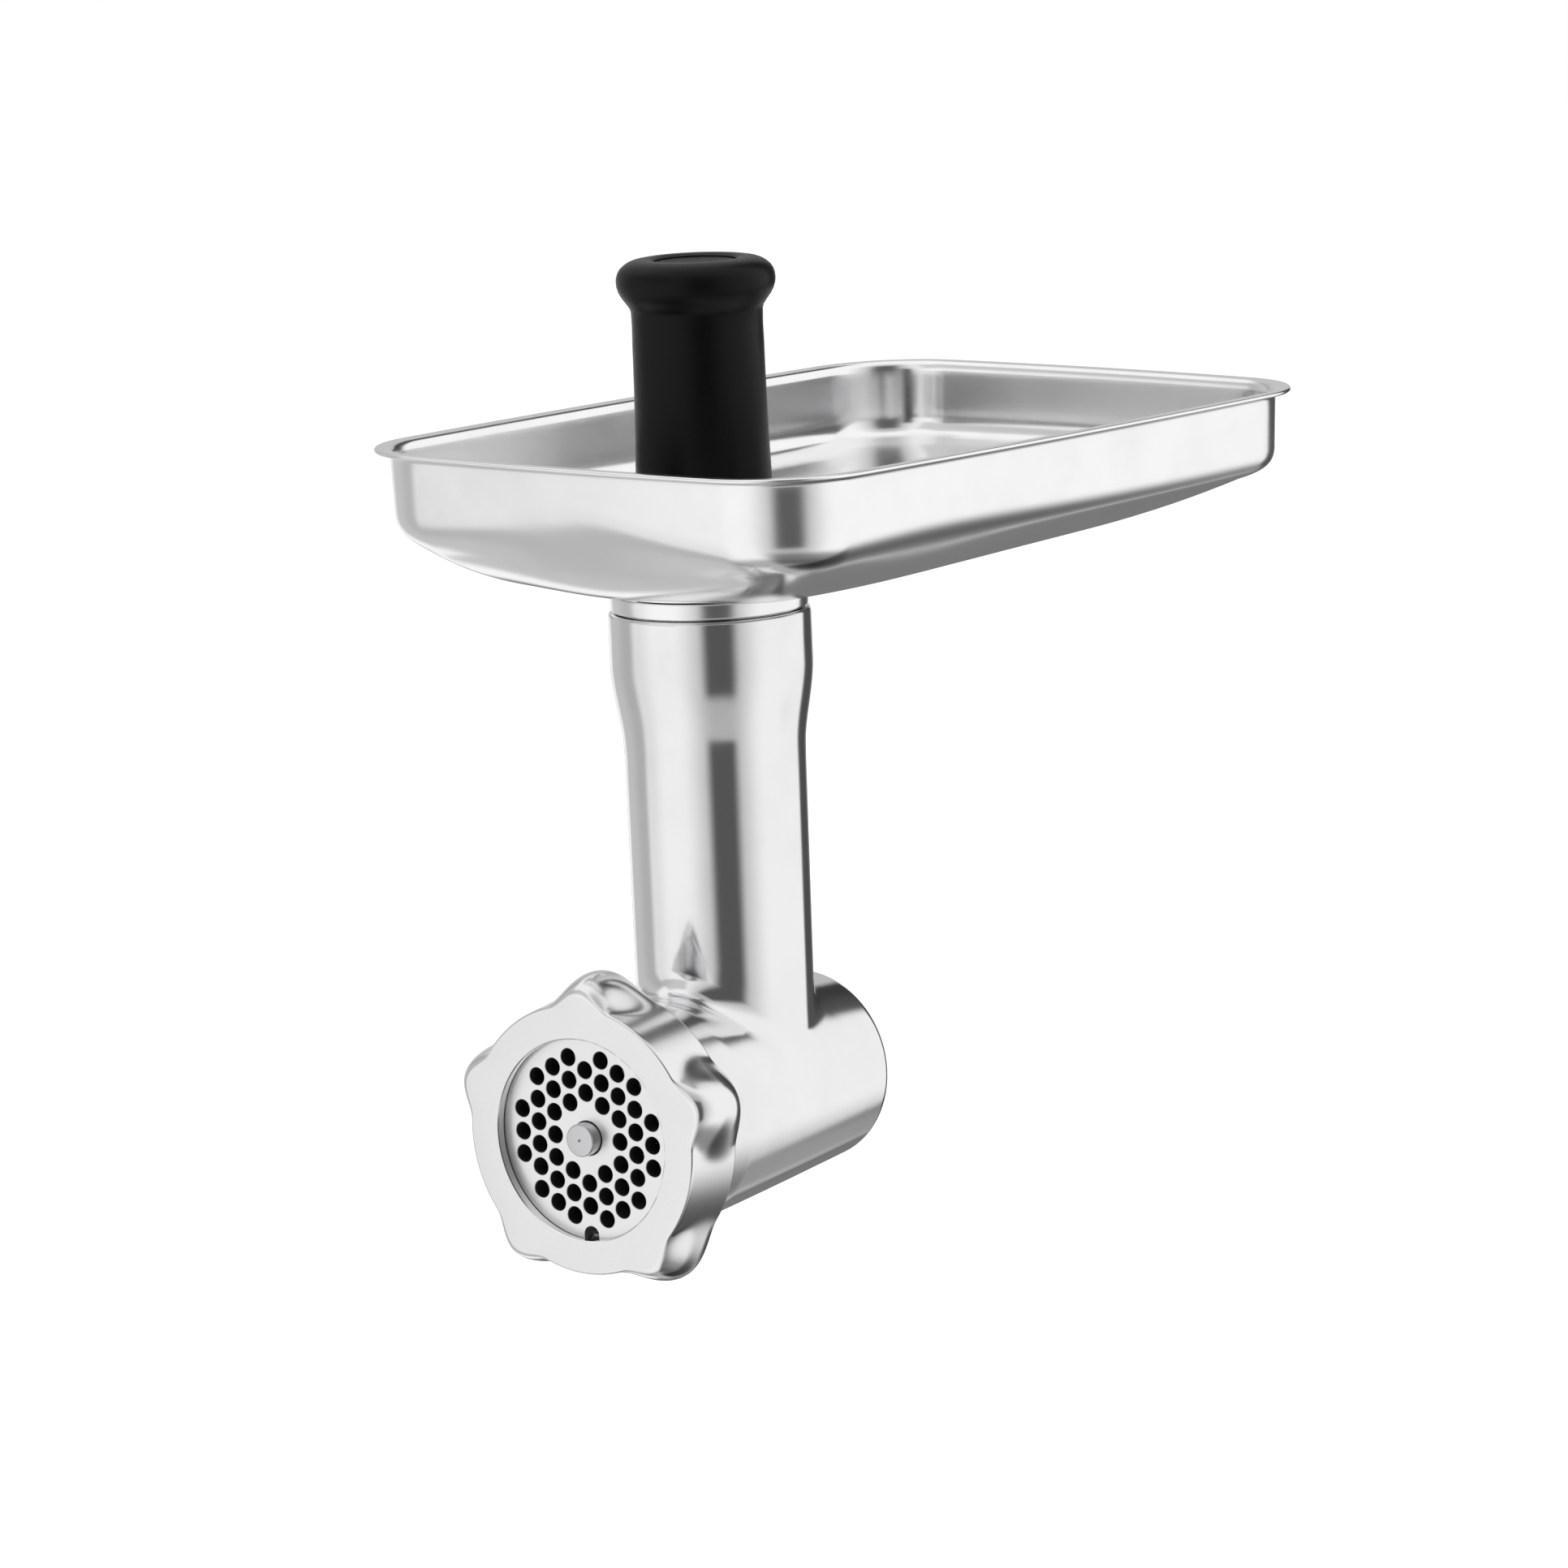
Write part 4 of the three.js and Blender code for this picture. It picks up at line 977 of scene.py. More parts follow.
def tube_radius(sizes, z):
    """Outer radius of the feed tube at a height."""
    z = np.asarray(z, float)
    taper = np.clip(z / sizes.flare_start, 0, 1)
    plain = sizes.tube_root + (sizes.tube_neck - sizes.tube_root) * taper
    flare = smooth((z - sizes.flare_start) / (sizes.flare_end - sizes.flare_start))
    return plain + (sizes.tube_mouth - sizes.tube_neck) * flare


def tee_join(shell, barrel, tube, fillet, ends, heights, count):
    """A barrel with a tube standing on it, blended by a rolling-ball fillet.

    barrel(y) and tube(z) give radii, and ends are the barrel's front and rear. heights run from
    0 at the fillet to the height of the tube's last row. The result is the number of points in
    the barrel's end rows.
    """
    back = tube_axis()
    turn = TURN * np.arange(count) / count
    cos, sin = np.cos(turn), np.sin(turn)
    z = np.full(count, float(barrel(back)))
    for _ in range(6):
        reach = tube(z) + fillet
        x, y = reach * cos, back + reach * sin
        ball = barrel(y) + fillet
        z = np.sqrt(np.maximum(ball ** 2 - x ** 2, 0))
    centre = np.stack([x, y, z], 1)
    to_tube = np.stack([-cos, -sin, np.zeros(count)], 1)
    to_barrel = np.stack([-x / ball, np.zeros(count), -z / ball], 1)
    span = np.arccos(np.clip((to_tube * to_barrel).sum(1), -1, 1))[:, None]
    steps = 10
    blend = []
    for k in range(steps + 1):
        t = k / steps
        aim = (np.sin((1 - t) * span) * to_tube + np.sin(t * span) * to_barrel) / np.sin(span)
        blend.append(centre + fillet * aim)
    shell.rows(blend)
    top = heights[-1]
    rising = []
    for height in heights:
        level = z + (top - z) * height / top
        rising.append(np.stack([tube(level) * cos, back + tube(level) * sin, level], 1))
    shell.rows(rising)
    edge = blend[-1]
    round_barrel = np.arctan2(edge[:, 0], edge[:, 2])
    quarter = count // 4
    front, rear = ends
    along = np.linspace(-1, 1, quarter + 1)
    # The sheet's border, in the order of the tube's points: +X side, rear, -X side, front.
    border_turn = np.concatenate([np.full(quarter, math.pi), -along[:-1] * math.pi,
                                  np.full(quarter, -math.pi), along[:-1] * math.pi])
    border_y = np.concatenate([front + (rear - front) * (along[:-1] + 1) / 2,
                               np.full(quarter, rear),
                               rear - (rear - front) * (along[:-1] + 1) / 2,
                               np.full(quarter, front)])
    shift = -quarter // 2
    border_turn = np.roll(border_turn, shift)
    border_y = np.roll(border_y, shift)
    sheet = []
    for t in np.linspace(0, 1, 28):
        phi = round_barrel + (border_turn - round_barrel) * t
        place = edge[:, 1] + (border_y - edge[:, 1]) * t
        radius = barrel(place)
        sheet.append(np.stack([radius * np.sin(phi), place, radius * np.cos(phi)], 1))
    shell.rows(sheet)
    return quarter


def thread_rows(start, end, crest, depth, pitch, columns):
    """Rows of a fine helical thread between two places, fading out at both ends."""
    rows = []
    turn = np.arange(columns) / columns
    for y in np.linspace(start, end, int(abs(end - start) / pitch * 9) + 2):
        phase = (y / pitch + turn) % 1.0
        tooth = np.clip(1.5 - np.abs(phase - 0.5) * 5.0, 0, 1)
        fade = smooth(min(abs(y - start), abs(y - end)) / (0.6 * pitch))
        rows.append(ring_points(crest - depth * (1 - tooth) * fade, y, columns))
    return rows


def make_housing(sizes):
    """The casting: outer skin, bores, threaded boss, mouth and hub recess in one shell."""
    shell = Shell()
    count = 320
    top = high("grinder_housing", 2)
    lip = 1.1 * MM
    boss_front = low("grinder_housing", 1)
    boss_rear = boss_front + sizes.boss_length
    heights = [*np.linspace(0, 0.68, 14), *np.linspace(0.70, 0.90, 22), 0.95, 1.0]
    outer_top = top - lip
    columns = tee_join(
        shell, lambda y: barrel_radius(sizes, y), lambda z: tube_radius(sizes, z),
        sizes.fillet, (boss_rear, -sizes.rear_rounding),
        [h * outer_top for h in heights], count)
    mouth = arc((sizes.tube_mouth - lip, top - lip), lip, 0, 90, 6)
    inner_edge = arc((sizes.socket_radius + 0.4 * MM, top - 0.4 * MM), 0.4 * MM, 90, 180, 4)
    shoulder = top - sizes.socket_depth
    step = sizes.socket_radius - sizes.tube_bore
    inner = [(sizes.socket_radius, shoulder + 0.5 * step), (sizes.socket_radius, shoulder),
             (sizes.tube_bore, shoulder - step)]
    shell.rows([tube_points(r, z, count) for r, z in [*mouth, *inner_edge, *inner]])
    knife_room = 2.8 * MM
    bore_front = high("cutting_knife", 1) + knife_room
    tee_join(
        shell, lambda y: np.full(np.shape(y), sizes.bore_radius),
        lambda z: np.full(np.shape(z), sizes.tube_bore), 1.2 * MM,
        (bore_front, -sizes.rear_wall),
        [h * (shoulder - step) for h in (0, 0.2, 0.4, 0.6, 0.8, 1.0)], count)
    seat = high("grinding_plate", 1) + GAP
    edge = 0.8 * MM
    thread_end = boss_rear - 2.2 * MM
    crest = sizes.boss_radius
    front_profile = [
        (sizes.bore_radius, bore_front),
        (sizes.chamber_radius, bore_front - 2.5 * MM),
        (sizes.chamber_radius, seat),
        (sizes.seat_radius, seat),
        (sizes.seat_radius, boss_front + 0.3 * MM),
        (sizes.seat_radius + 0.3 * MM, boss_front),
        (crest - edge, boss_front),
        (crest, boss_front + edge),
    ]
    shell.rows([ring_points(r, y, columns) for r, y in front_profile])
    shell.rows(thread_rows(boss_front + edge, thread_end, crest, sizes.thread_depth,
                           sizes.thread_pitch, columns))
    shell.rows([ring_points(r, y, columns) for r, y in [
        (crest, thread_end), (sizes.front_radius, boss_rear)]])
    rear_profile = [
        *arc((sizes.rear_radius - sizes.rear_rounding, -sizes.rear_rounding),
             sizes.rear_rounding, 0, 90, 10),
        (sizes.hub_recess + 0.3 * MM, 0.0),
        (sizes.hub_recess, -0.3 * MM),
        (sizes.hub_recess, -sizes.recess_depth),
        (sizes.shaft_hole, -sizes.recess_depth),
        (sizes.shaft_hole, -sizes.rear_wall),
        (sizes.bore_radius, -sizes.rear_wall),
    ]
    shell.rows([ring_points(r, y, columns) for r, y in rear_profile])
    piece = shell.object("housing_casting", [polished_steel(), turned_steel()], 32)
    paint_inside(piece, sizes)
    keep(piece, "housing", "polished_housing", "grinder_housing")


def paint_inside(piece, sizes):
    """Machined faces of the casting: the plate's seat, the thread and the hub recess."""
    boss_rear = low("grinder_housing", 1) + sizes.boss_length
    margin = 0.1 * MM
    for face in piece.data.polygons:
        x, y, z = face.center
        reach = math.hypot(x, z)
        recess = y > -sizes.recess_depth - margin and reach < sizes.hub_recess + margin
        if y < boss_rear - margin or recess:
            face.material_index = 1


def make_ribs(sizes):
    """Straight ribs in the barrel's bore, copied round its lower half."""
    front = high("cutting_knife", 1) + 3.5 * MM
    rear = -sizes.rear_wall - 2 * MM
    half = sizes.rib_width / 2
    outer = sizes.bore_radius + 0.4 * MM
    inner = sizes.bore_radius - sizes.rib_height
    section = round_profile([(outer, -half), (inner, -half), (inner, half), (outer, half)],
                            [0, 0.4 * MM, 0.4 * MM, 0])
    shell = Shell()
    rows = [[(x, y, z) for x, z in section] for y in (front, rear)]
    shell.rows(rows)
    shell.disc(rows[0])
    shell.disc(rows[1])
    piece = shell.object("bore_ribs", [])
    grown(piece, copies_tree(), {"Count": sizes.rib_count, "First": sizes.rib_first,
                                 "Step": sizes.rib_step, "Material": polished_steel()})
    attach(piece, "housing")


# ---------------------------------------------------------------- ring nut and plate


def ring_outline(sizes, share, turn):
    """Outer radius of the ring nut at a share of its depth, all the way round."""
    base = sizes.front_radius + (sizes.rear_radius - sizes.front_radius) * share
    swell = (4 * share * (1 - share)) ** 0.7
    crest = sizes.front_lobe + (sizes.rear_lobe - sizes.front_lobe) * share
    crest = crest + sizes.lobe_swell * swell
    span = sizes.front_span + (sizes.rear_span - sizes.front_span) * share
    span = span + sizes.span_swell * swell
    step = TURN / sizes.lobes
    off = (turn - sizes.first_lobe) % step
    off = np.minimum(off, step - off)
    return base + crest * smooth(1 - off / span) ** 1.1


def make_ring(sizes, pitch):
    """The lobed ring nut, with a satin front face, polished sides and a thread of a pitch."""
    count = 480
    turn = TURN * np.arange(count) / count
    front = low("ring_nut", 1)
    depth = high("ring_nut", 1) - front

    def row(radius, y):
        radius = np.broadcast_to(radius, (count,))
        return np.stack([radius * np.cos(turn), np.full(count, y), radius * np.sin(turn)], 1)

    def outer(y, inset):
        share = min(1.0, max(0.0, (y - front) / depth))
        return row(ring_outline(sizes, share, turn) - inset, y)

    edge = sizes.edge
    shell = Shell()
    bends = np.radians(np.linspace(90, 0, 6))
    face = [row(sizes.opening + 0.25 * MM, front), outer(front, edge)]
    shell.rows(face, slot=1)
    sides = [outer(front + edge * (1 - math.sin(b)), edge * (1 - math.cos(b))) for b in bends]
    sides += [outer(front + depth * s, 0) for s in np.linspace(0.08, 0.95, 26)]
    sides += [outer(front + depth - edge * (1 - math.sin(b)), edge * (1 - math.cos(b)))
              for b in bends[::-1]]
    shell.rows(sides)
    bore_front = front + sizes.lip
    rear = front + depth
    mouth = 0.8 * MM
    thread_start = rear - mouth
    thread_end = bore_front + 1.5 * MM
    thread_depth = 0.6 * MM
    shell.rows([sides[-1], row(sizes.bore + mouth, rear), row(sizes.bore, thread_start)])
    thread = []
    for y in np.linspace(thread_start, thread_end, 40):
        phase = (y / pitch - turn / TURN) % 1.0
        tooth = np.clip(1.5 - np.abs(phase - 0.5) * 5.0, 0, 1)
        fade = smooth(min(thread_start - y, y - thread_end) / (0.5 * pitch))
        thread.append(row(sizes.bore + thread_depth * tooth * fade, y))
    shell.rows(thread)
    groove = 0.35 * MM
    opening = [
        row(sizes.bore, thread_end),
        row(sizes.bore, bore_front),
        row(sizes.opening + groove, bore_front),
        row(sizes.opening + groove, bore_front - 0.8 * MM),
        row(sizes.opening, bore_front - 0.8 * MM - groove),
        row(sizes.opening, front + 0.25 * MM),
        row(sizes.opening + 0.25 * MM, front),
    ]
    shell.rows(opening)
    piece = shell.object("lobed_ring_nut", [ring_polish(), blasted_face()], 32)
    keep(piece, "ring", "polished_ring", "ring_nut")


def make_plate(sizes):
    """The perforated plate: its rims are drawn here, its faces and holes by geometry nodes."""
    face, back = low("grinding_plate", 1), high("grinding_plate", 1)
    radius = high("grinding_plate", 0)
    thickness = back - face
    bevel = sizes.edge

    def outline(inset, z):
        notch = sizes.notch
        reach = radius - inset
        head = sizes.notch_depth - notch - radius
        foot = -math.sqrt(reach ** 2 - notch ** 2)
        start = math.atan2(foot, notch)
        turn = np.linspace(start, math.pi - start, 180)
        points = [(reach * math.cos(a), reach * math.sin(a), z) for a in turn]
        points += [(-notch, foot + (head - foot) * t, z) for t in (0.33, 0.67)]
        points += [(notch * math.cos(a), head + notch * math.sin(a), z)
                   for a in np.linspace(math.pi, 0, 20)]
        points += [(notch, head + (foot - head) * t, z) for t in (0.33, 0.67)]
        return points

    def bore(reach, z):
        turn = TURN * np.arange(64) / 64
        return [(reach * math.cos(a), reach * math.sin(a), z) for a in turn]

    shell = Shell()
    shell.rows([outline(bevel, 0), outline(0, bevel), outline(0, thickness - bevel),
                outline(bevel, thickness)])
    small = bevel / 2
    hole = sizes.centre_hole
    shell.rows([bore(hole + small, 0), bore(hole, small), bore(hole, thickness - small),
                bore(hole + small, thickness)])
    plate = shell.object("pierced_grinding_plate", [])
    # The holes' walls get the near-black painted shade.
    grown(plate, plate_tree(), {
        "Pitch": sizes.pitch, "Hole": sizes.hole, "Countersink": sizes.countersink,
        "Inner ring": sizes.inner_ring, "Outer ring": sizes.outer_ring,
        "Place": face, "Thickness": thickness, "Material": ground_plate(),
        "Hole material": dark_burr()})
    keep(plate, "plate", "ground_steel", "grinding_plate")


def square_row(side, bevel, y, per_corner=4):
    """Points of a square with rounded corners, round the barrel's axis."""
    half = side / 2
    points = []
    for quarter in range(4):
        turn = quarter * math.pi / 2
        for step in np.linspace(0, math.pi / 2, per_corner):
            x = half - bevel + bevel * math.cos(step)
            z = half - bevel + bevel * math.sin(step)
            points.append((x * math.cos(turn) - z * math.sin(turn), y,
                           x * math.sin(turn) + z * math.cos(turn)))
    return np.array(points)


def make_stud(sizes):
    """The knife's stud: round in the auger, square in the knife, a plain pin in the plate."""
    front, rear = low("knife_stud", 1), high("knife_stud", 1)
    square_front = low("cutting_knife", 1) + GAP
    square_rear = high("cutting_knife", 1)
    dimple = sizes.pin_dimple
    pin = [(dimple * 0.1, front + dimple * 0.9), (dimple, front), (sizes.pin - 0.45 * MM, front)]
    pin += arc((sizes.pin - 0.45 * MM, front + 0.45 * MM), 0.45 * MM, -90, 0, 5)
    pin += [(sizes.pin, square_front)]
    shell = Shell()
    rows = [ring_points(r, y, 96) for r, y in pin]
    shell.rows(rows)
    shell.disc(rows[0])
    block = [square_row(sizes.square, 0.4 * MM, y) for y in (square_front, square_rear)]
    shell.rows(block)
    shell.disc(block[0])
    shell.disc(block[1])
    tail = [ring_points(r, y, 96) for r, y in [
        (sizes.stud, square_rear), (sizes.stud, rear - 0.5 * MM), (sizes.stud - 0.5 * MM, rear)]]
    shell.rows(tail)
    shell.disc(tail[-1])
    piece = shell.object("knife_pin_and_stud", [turned_steel()])
    keep(piece, "rotor", "machined_steel", "knife_stud")


# ---------------------------------------------------------------- tray and collar


def bowed_outline(half_x, half_y, corner, bow, middle_y):
    """A rectangle with round corners and sides that bow outward, all tangent."""
    per_corner = 26
    per_side = 24
    points = []
    lean_x = 2 * math.atan(bow / (half_x - corner))
    lean_y = 2 * math.atan(bow / (half_y - corner))
    signs = ((1, 1), (-1, 1), (-1, -1), (1, -1))
    for quarter, (sx, sy) in enumerate(signs):
        centre = np.array([sx * (half_x - corner), sy * (half_y - corner)])
        leans = (lean_y, lean_x) if quarter % 2 == 0 else (lean_x, lean_y)
        start = quarter * math.pi / 2 + leans[0]
        end = (quarter + 1) * math.pi / 2 - leans[1]
        for a in np.linspace(start, end, per_corner):
            points.append(centre + corner * np.array([math.cos(a), math.sin(a)]))
        mirrored = centre * ((-1, 1) if quarter % 2 == 0 else (1, -1))
        other = math.pi * (quarter + 1) - end
        far = mirrored + corner * np.array([math.cos(other), math.sin(other)])
        near = points[-1]
        lean = leans[1]
        chord = np.linalg.norm(far - near)
        outward = np.array([math.cos((quarter + 1) * math.pi / 2),
                            math.sin((quarter + 1) * math.pi / 2)])
        big = chord / (2 * math.sin(lean))
        for t in np.linspace(0, 1, per_side + 2)[1:-1]:
            swing = lean * (2 * t - 1)
            rise = big * (math.cos(swing) - math.cos(lean))
            slide = (math.sin(swing) / math.sin(lean) + 1) / 2
            points.append(near + (far - near) * slide + outward * rise)
    outline = np.array(points)
    outline[:, 1] += middle_y
    return outline


def tray_world(points, turn):
    """Tray points, from the tray's own axes to the part's."""
    points = np.asarray(points, float)
    x = points[:, 0] * math.cos(turn) - points[:, 1] * math.sin(turn)
    y = points[:, 0] * math.sin(turn) + points[:, 1] * math.cos(turn) + tube_axis()
    return np.stack([x, y, points[:, 2]], 1)


def tray_skin(sizes, shift, foot, top):
    """Rows of one skin of the pan, from its neck to the foot of its flange."""
    half_x = sizes.half_width - sizes.flange - shift
    half_y = sizes.half_length - sizes.flange - shift
    corner = sizes.corner - sizes.flange - shift
    wall_top = top - sizes.sheet - 1.5 * MM
    draft = sizes.draft

    def outline(inset):
        return bowed_outline(half_x - inset, half_y - inset, max(corner - inset, 2 * MM),
                             sizes.bow, sizes.centre_back)

    def level(points, z):
        return np.column_stack([points, np.broadcast_to(z, len(points))])

    rounding = sizes.rounding - shift
    inset = draft + rounding
    neck = sizes.neck - shift
    neck_top = foot + 0.3 * MM + sizes.neck_rise + shift
    floor_z = neck_top + sizes.floor_rise
    edge = outline(inset)
    distance = np.linalg.norm(edge, axis=1)
    aim = edge / distance[:, None]
    slope = sizes.floor_slope * (edge[:, 1] - sizes.centre_back)
    rows = [level(aim * neck, foot), level(aim * neck, foot + 0.3 * MM + shift * 0.6)]
    start = neck + sizes.flare
    for a in np.radians(np.linspace(18, 90, 5)):
        out = neck + sizes.flare * (1 - math.cos(a))
        rows.append(level(aim * out, neck_top - sizes.neck_rise * (1 - math.sin(a))))
    # The floor rises like a shallow bowl, and meets the bend at the bend's own slope.
    for t in np.linspace(0, 1, 26)[1:]:
        climb = t ** sizes.floor_sag * (sizes.floor_rise + slope)
        rows.append(level(aim * (start + (distance - start) * t)[:, None], neck_top + climb))
    # One curve bends the floor up into the wall, which then stands nearly straight.
    foot_edge = outline(draft)
    lean = np.arctan(sizes.floor_sag * (sizes.floor_rise + slope) / (distance - start))
    corner_z = rounding * np.tan(lean)
    bend_top = corner_z + sizes.bend_rise
    for t in np.linspace(0, 1, 17)[1:]:
        p1, p2, p3 = 3 * t * (1 - t) ** 2, 3 * t * t * (1 - t), t ** 3
        out = p1 * sizes.bend_lead + p2 + p3
        up = p1 * sizes.bend_lead * corner_z + p2 * (corner_z + sizes.heel) + p3 * bend_top
        rows.append(level(edge + (foot_edge - edge) * out, floor_z + slope + up))
    wall_foot = floor_z + slope + bend_top
    for t in np.linspace(0, 1, 7)[1:]:
        rows.append(level(outline(draft * (1 - t)), wall_foot + (wall_top - wall_foot) * t))
    return rows


def make_tray(sizes):
    """The feed tray: a drawn pan with a narrow flange."""
    top = high("feed_tray", 2)
    foot = low("feed_tray", 2)
    outer = tray_skin(sizes, 0.0, foot, top)
    inner = tray_skin(sizes, sizes.sheet, foot, top)
    half_x = sizes.half_width - sizes.flange
    half_y = sizes.half_length - sizes.flange
    corner = sizes.corner - sizes.flange

    def rim(grow, z):
        points = bowed_outline(half_x + grow, half_y + grow, corner + grow, sizes.bow,
                               sizes.centre_back)
        return np.column_stack([points, np.full(len(points), z)])

    sheet = sizes.sheet
    under = top - sheet
    flange = [rim(1.5 * MM * (1 - math.cos(a)), under - 1.5 * MM * (1 - math.sin(a)))
              for a in np.radians((22, 45, 68, 90))]
    half = sheet / 2
    flange += [rim(sizes.flange - half + half * math.cos(a), top - half + half * math.sin(a))
               for a in np.radians(np.linspace(-90, 90, 9))]
    flange += [rim(-sheet + 2.2 * MM * (1 - math.cos(a)), top - 2.2 * MM * (1 - math.sin(a)))
               for a in np.radians((90, 68, 45, 22))]
    shell = Shell()
    rows = [*outer, *flange, *inner[::-1]]
    shell.rows([tray_world(row, sizes.turn) for row in rows], looped=True)
    piece = shell.object("drawn_feed_tray", [drawn_steel()], 40)
    keep(piece, "tray", "polished_sheet", "feed_tray")


def make_collar(sizes):
    """The collar: a bead that sits on the tube, over a spigot that drops into it."""
    foot, top = low("tray_collar", 2), high("tray_collar", 2)
    radius = high("tray_collar", 0)
    seat = high("grinder_housing", 2) + GAP
    edge = sizes.collar_edge
    outer = sizes.spigot
    inner = outer - sizes.sheet
    profile = round_profile(
        [(inner, foot), (outer, foot), (outer, seat), (radius, seat), (radius, top),
         (inner, top)],
        [0.3 * MM, 0.4 * MM, 0.3 * MM, edge, edge, 0.4 * MM], 5)
    piece = turned("tray_collar_ring", profile, [drawn_steel()], 192, upright=True)
    keep(piece, "collar", "polished_sheet", "tray_collar")


# ---------------------------------------------------------------- pusher


def make_pusher(sizes):
    """The pusher: a hollow foot, a narrowing grip and a round head with a sunken cap."""
    foot, top = low("pusher_body", 2), high("pusher_body", 2)
    cap_radius = high("pusher_cap", 0)
    cap_foot = low("pusher_cap", 2)
    crease = top - sizes.head_height
    centre = 0.2 * MM
    edge = 1.5 * MM
    profile = [(centre, foot), (sizes.foot - edge, foot)]
    profile += arc((sizes.foot - edge, foot + edge), edge, -90, 0, 5)
    for t in np.linspace(0, 1, 26):
        z = sizes.grip_start + (crease - 9 * MM - sizes.grip_start) * t
        eased = 1 - (1 - t) ** 2
        profile.append((sizes.foot + (sizes.grip + 0.05 * MM - sizes.foot) * eased, z))
    profile += [(sizes.grip - 0.05 * MM, crease - 4 * MM),
                (sizes.grip + 0.05 * MM, crease - 0.4 * MM),
                (sizes.grip + 0.35 * MM, crease + 0.6 * MM)]
    # The head swells to its full width a little above its middle and closes over to the rim.
    shape = [(0.155, 0.36), (0.25, 0.62), (0.36, 0.84), (0.47, 0.965), (0.56, 1.0),
             (0.65, 0.975), (0.74, 0.88), (0.82, 0.70), (0.89, 0.42), (0.94, 0.13),
             (0.975, -0.2), (0.995, -0.62)]
    for up, out in shape:
        radius = sizes.grip + (sizes.head - sizes.grip) * out
        profile.append((radius, crease + sizes.head_height * up))
    recess = cap_radius + sizes.cap_gap
    ledge = cap_radius - 1.5 * MM
    hollow = sizes.grip - sizes.wall
    profile += [(sizes.rim + 0.6 * MM, top), (sizes.rim - 0.2 * MM, top - 0.12 * MM),
                (recess, top - 0.6 * MM), (recess, cap_foot - GAP), (ledge, cap_foot - GAP),
                (ledge, cap_foot - 3.3 * MM), (hollow, cap_foot - 8 * MM),
                (hollow, foot + sizes.wall), (centre, foot + sizes.wall)]
    piece = capped("moulded_pusher", profile, [pusher_plastic()], 160, upright=True, sharp=50)
    keep(piece, "pusher", "pusher_plastic", "pusher_body")


def make_cap():
    """The pusher's cap, dished towards its middle."""
    foot, top = low("pusher_cap", 2), high("pusher_cap", 2)
    radius = high("pusher_cap", 0)
    edge = 0.35 * MM
    dish = 0.7 * MM
    profile = [(0.2 * MM, foot), (radius, foot), (radius, top - edge), (radius - edge, top)]
    profile += [(radius * r, top - dish * (1 - r * r)) for r in (0.9, 0.75, 0.55, 0.3, 0.1)]
    piece = capped("dished_pusher_cap", profile, [pusher_plastic()], 128, upright=True)
    keep(piece, "pusher", "pusher_plastic", "pusher_cap")


# ---------------------------------------------------------------- hub


def make_adapter(sizes):
    """The bayonet adapter's flange and neck, with lugs copied round it."""
    front = low("hub_adapter", 1)
    rear = high("hub_adapter", 1)
    edge = sizes.edge
    profile = round_profile(
        [(sizes.bore, front), (sizes.flange, front), (sizes.flange, 0.0), (sizes.neck, 0.0),
         (sizes.neck, rear), (sizes.bore, rear)],
        [0, 0.3 * MM, edge, 0.8 * MM, edge, 0.4 * MM], 4)
    body = turned("bayonet_adapter", profile, [turned_steel()], 160)
    keep(body, "housing", "machined_steel", "hub_adapter")
    lug_rear = rear - sizes.lug_setback
    lug_front = lug_rear - sizes.lug_thickness
    shell = Shell()
    turn = np.linspace(-sizes.lug_span, sizes.lug_span, 18)
    inner = sizes.neck - 0.5 * MM

    def lug_row(y, inset):
        outer = sizes.lug - inset
        squeezed = turn * (1 - inset / (sizes.lug * sizes.lug_span))
        arc_out = [(outer * math.cos(a), y, outer * math.sin(a)) for a in squeezed]
        arc_in = [(inner * math.cos(a), y, inner * math.sin(a)) for a in squeezed[::-1]]
        return arc_out + arc_in

    rows = [lug_row(lug_front, edge), lug_row(lug_front + edge, 0),
            lug_row(lug_rear - edge, 0), lug_row(lug_rear, edge)]
    shell.rows(rows)
    shell.disc(rows[0])
    shell.disc(rows[-1])
    lugs = shell.object("bayonet_lugs", [])
    step = TURN / sizes.lugs
    grown(lugs, copies_tree(), {"Count": sizes.lugs, "First": math.pi / 2, "Step": step,
                                "Material": turned_steel()})
    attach(lugs, "housing")


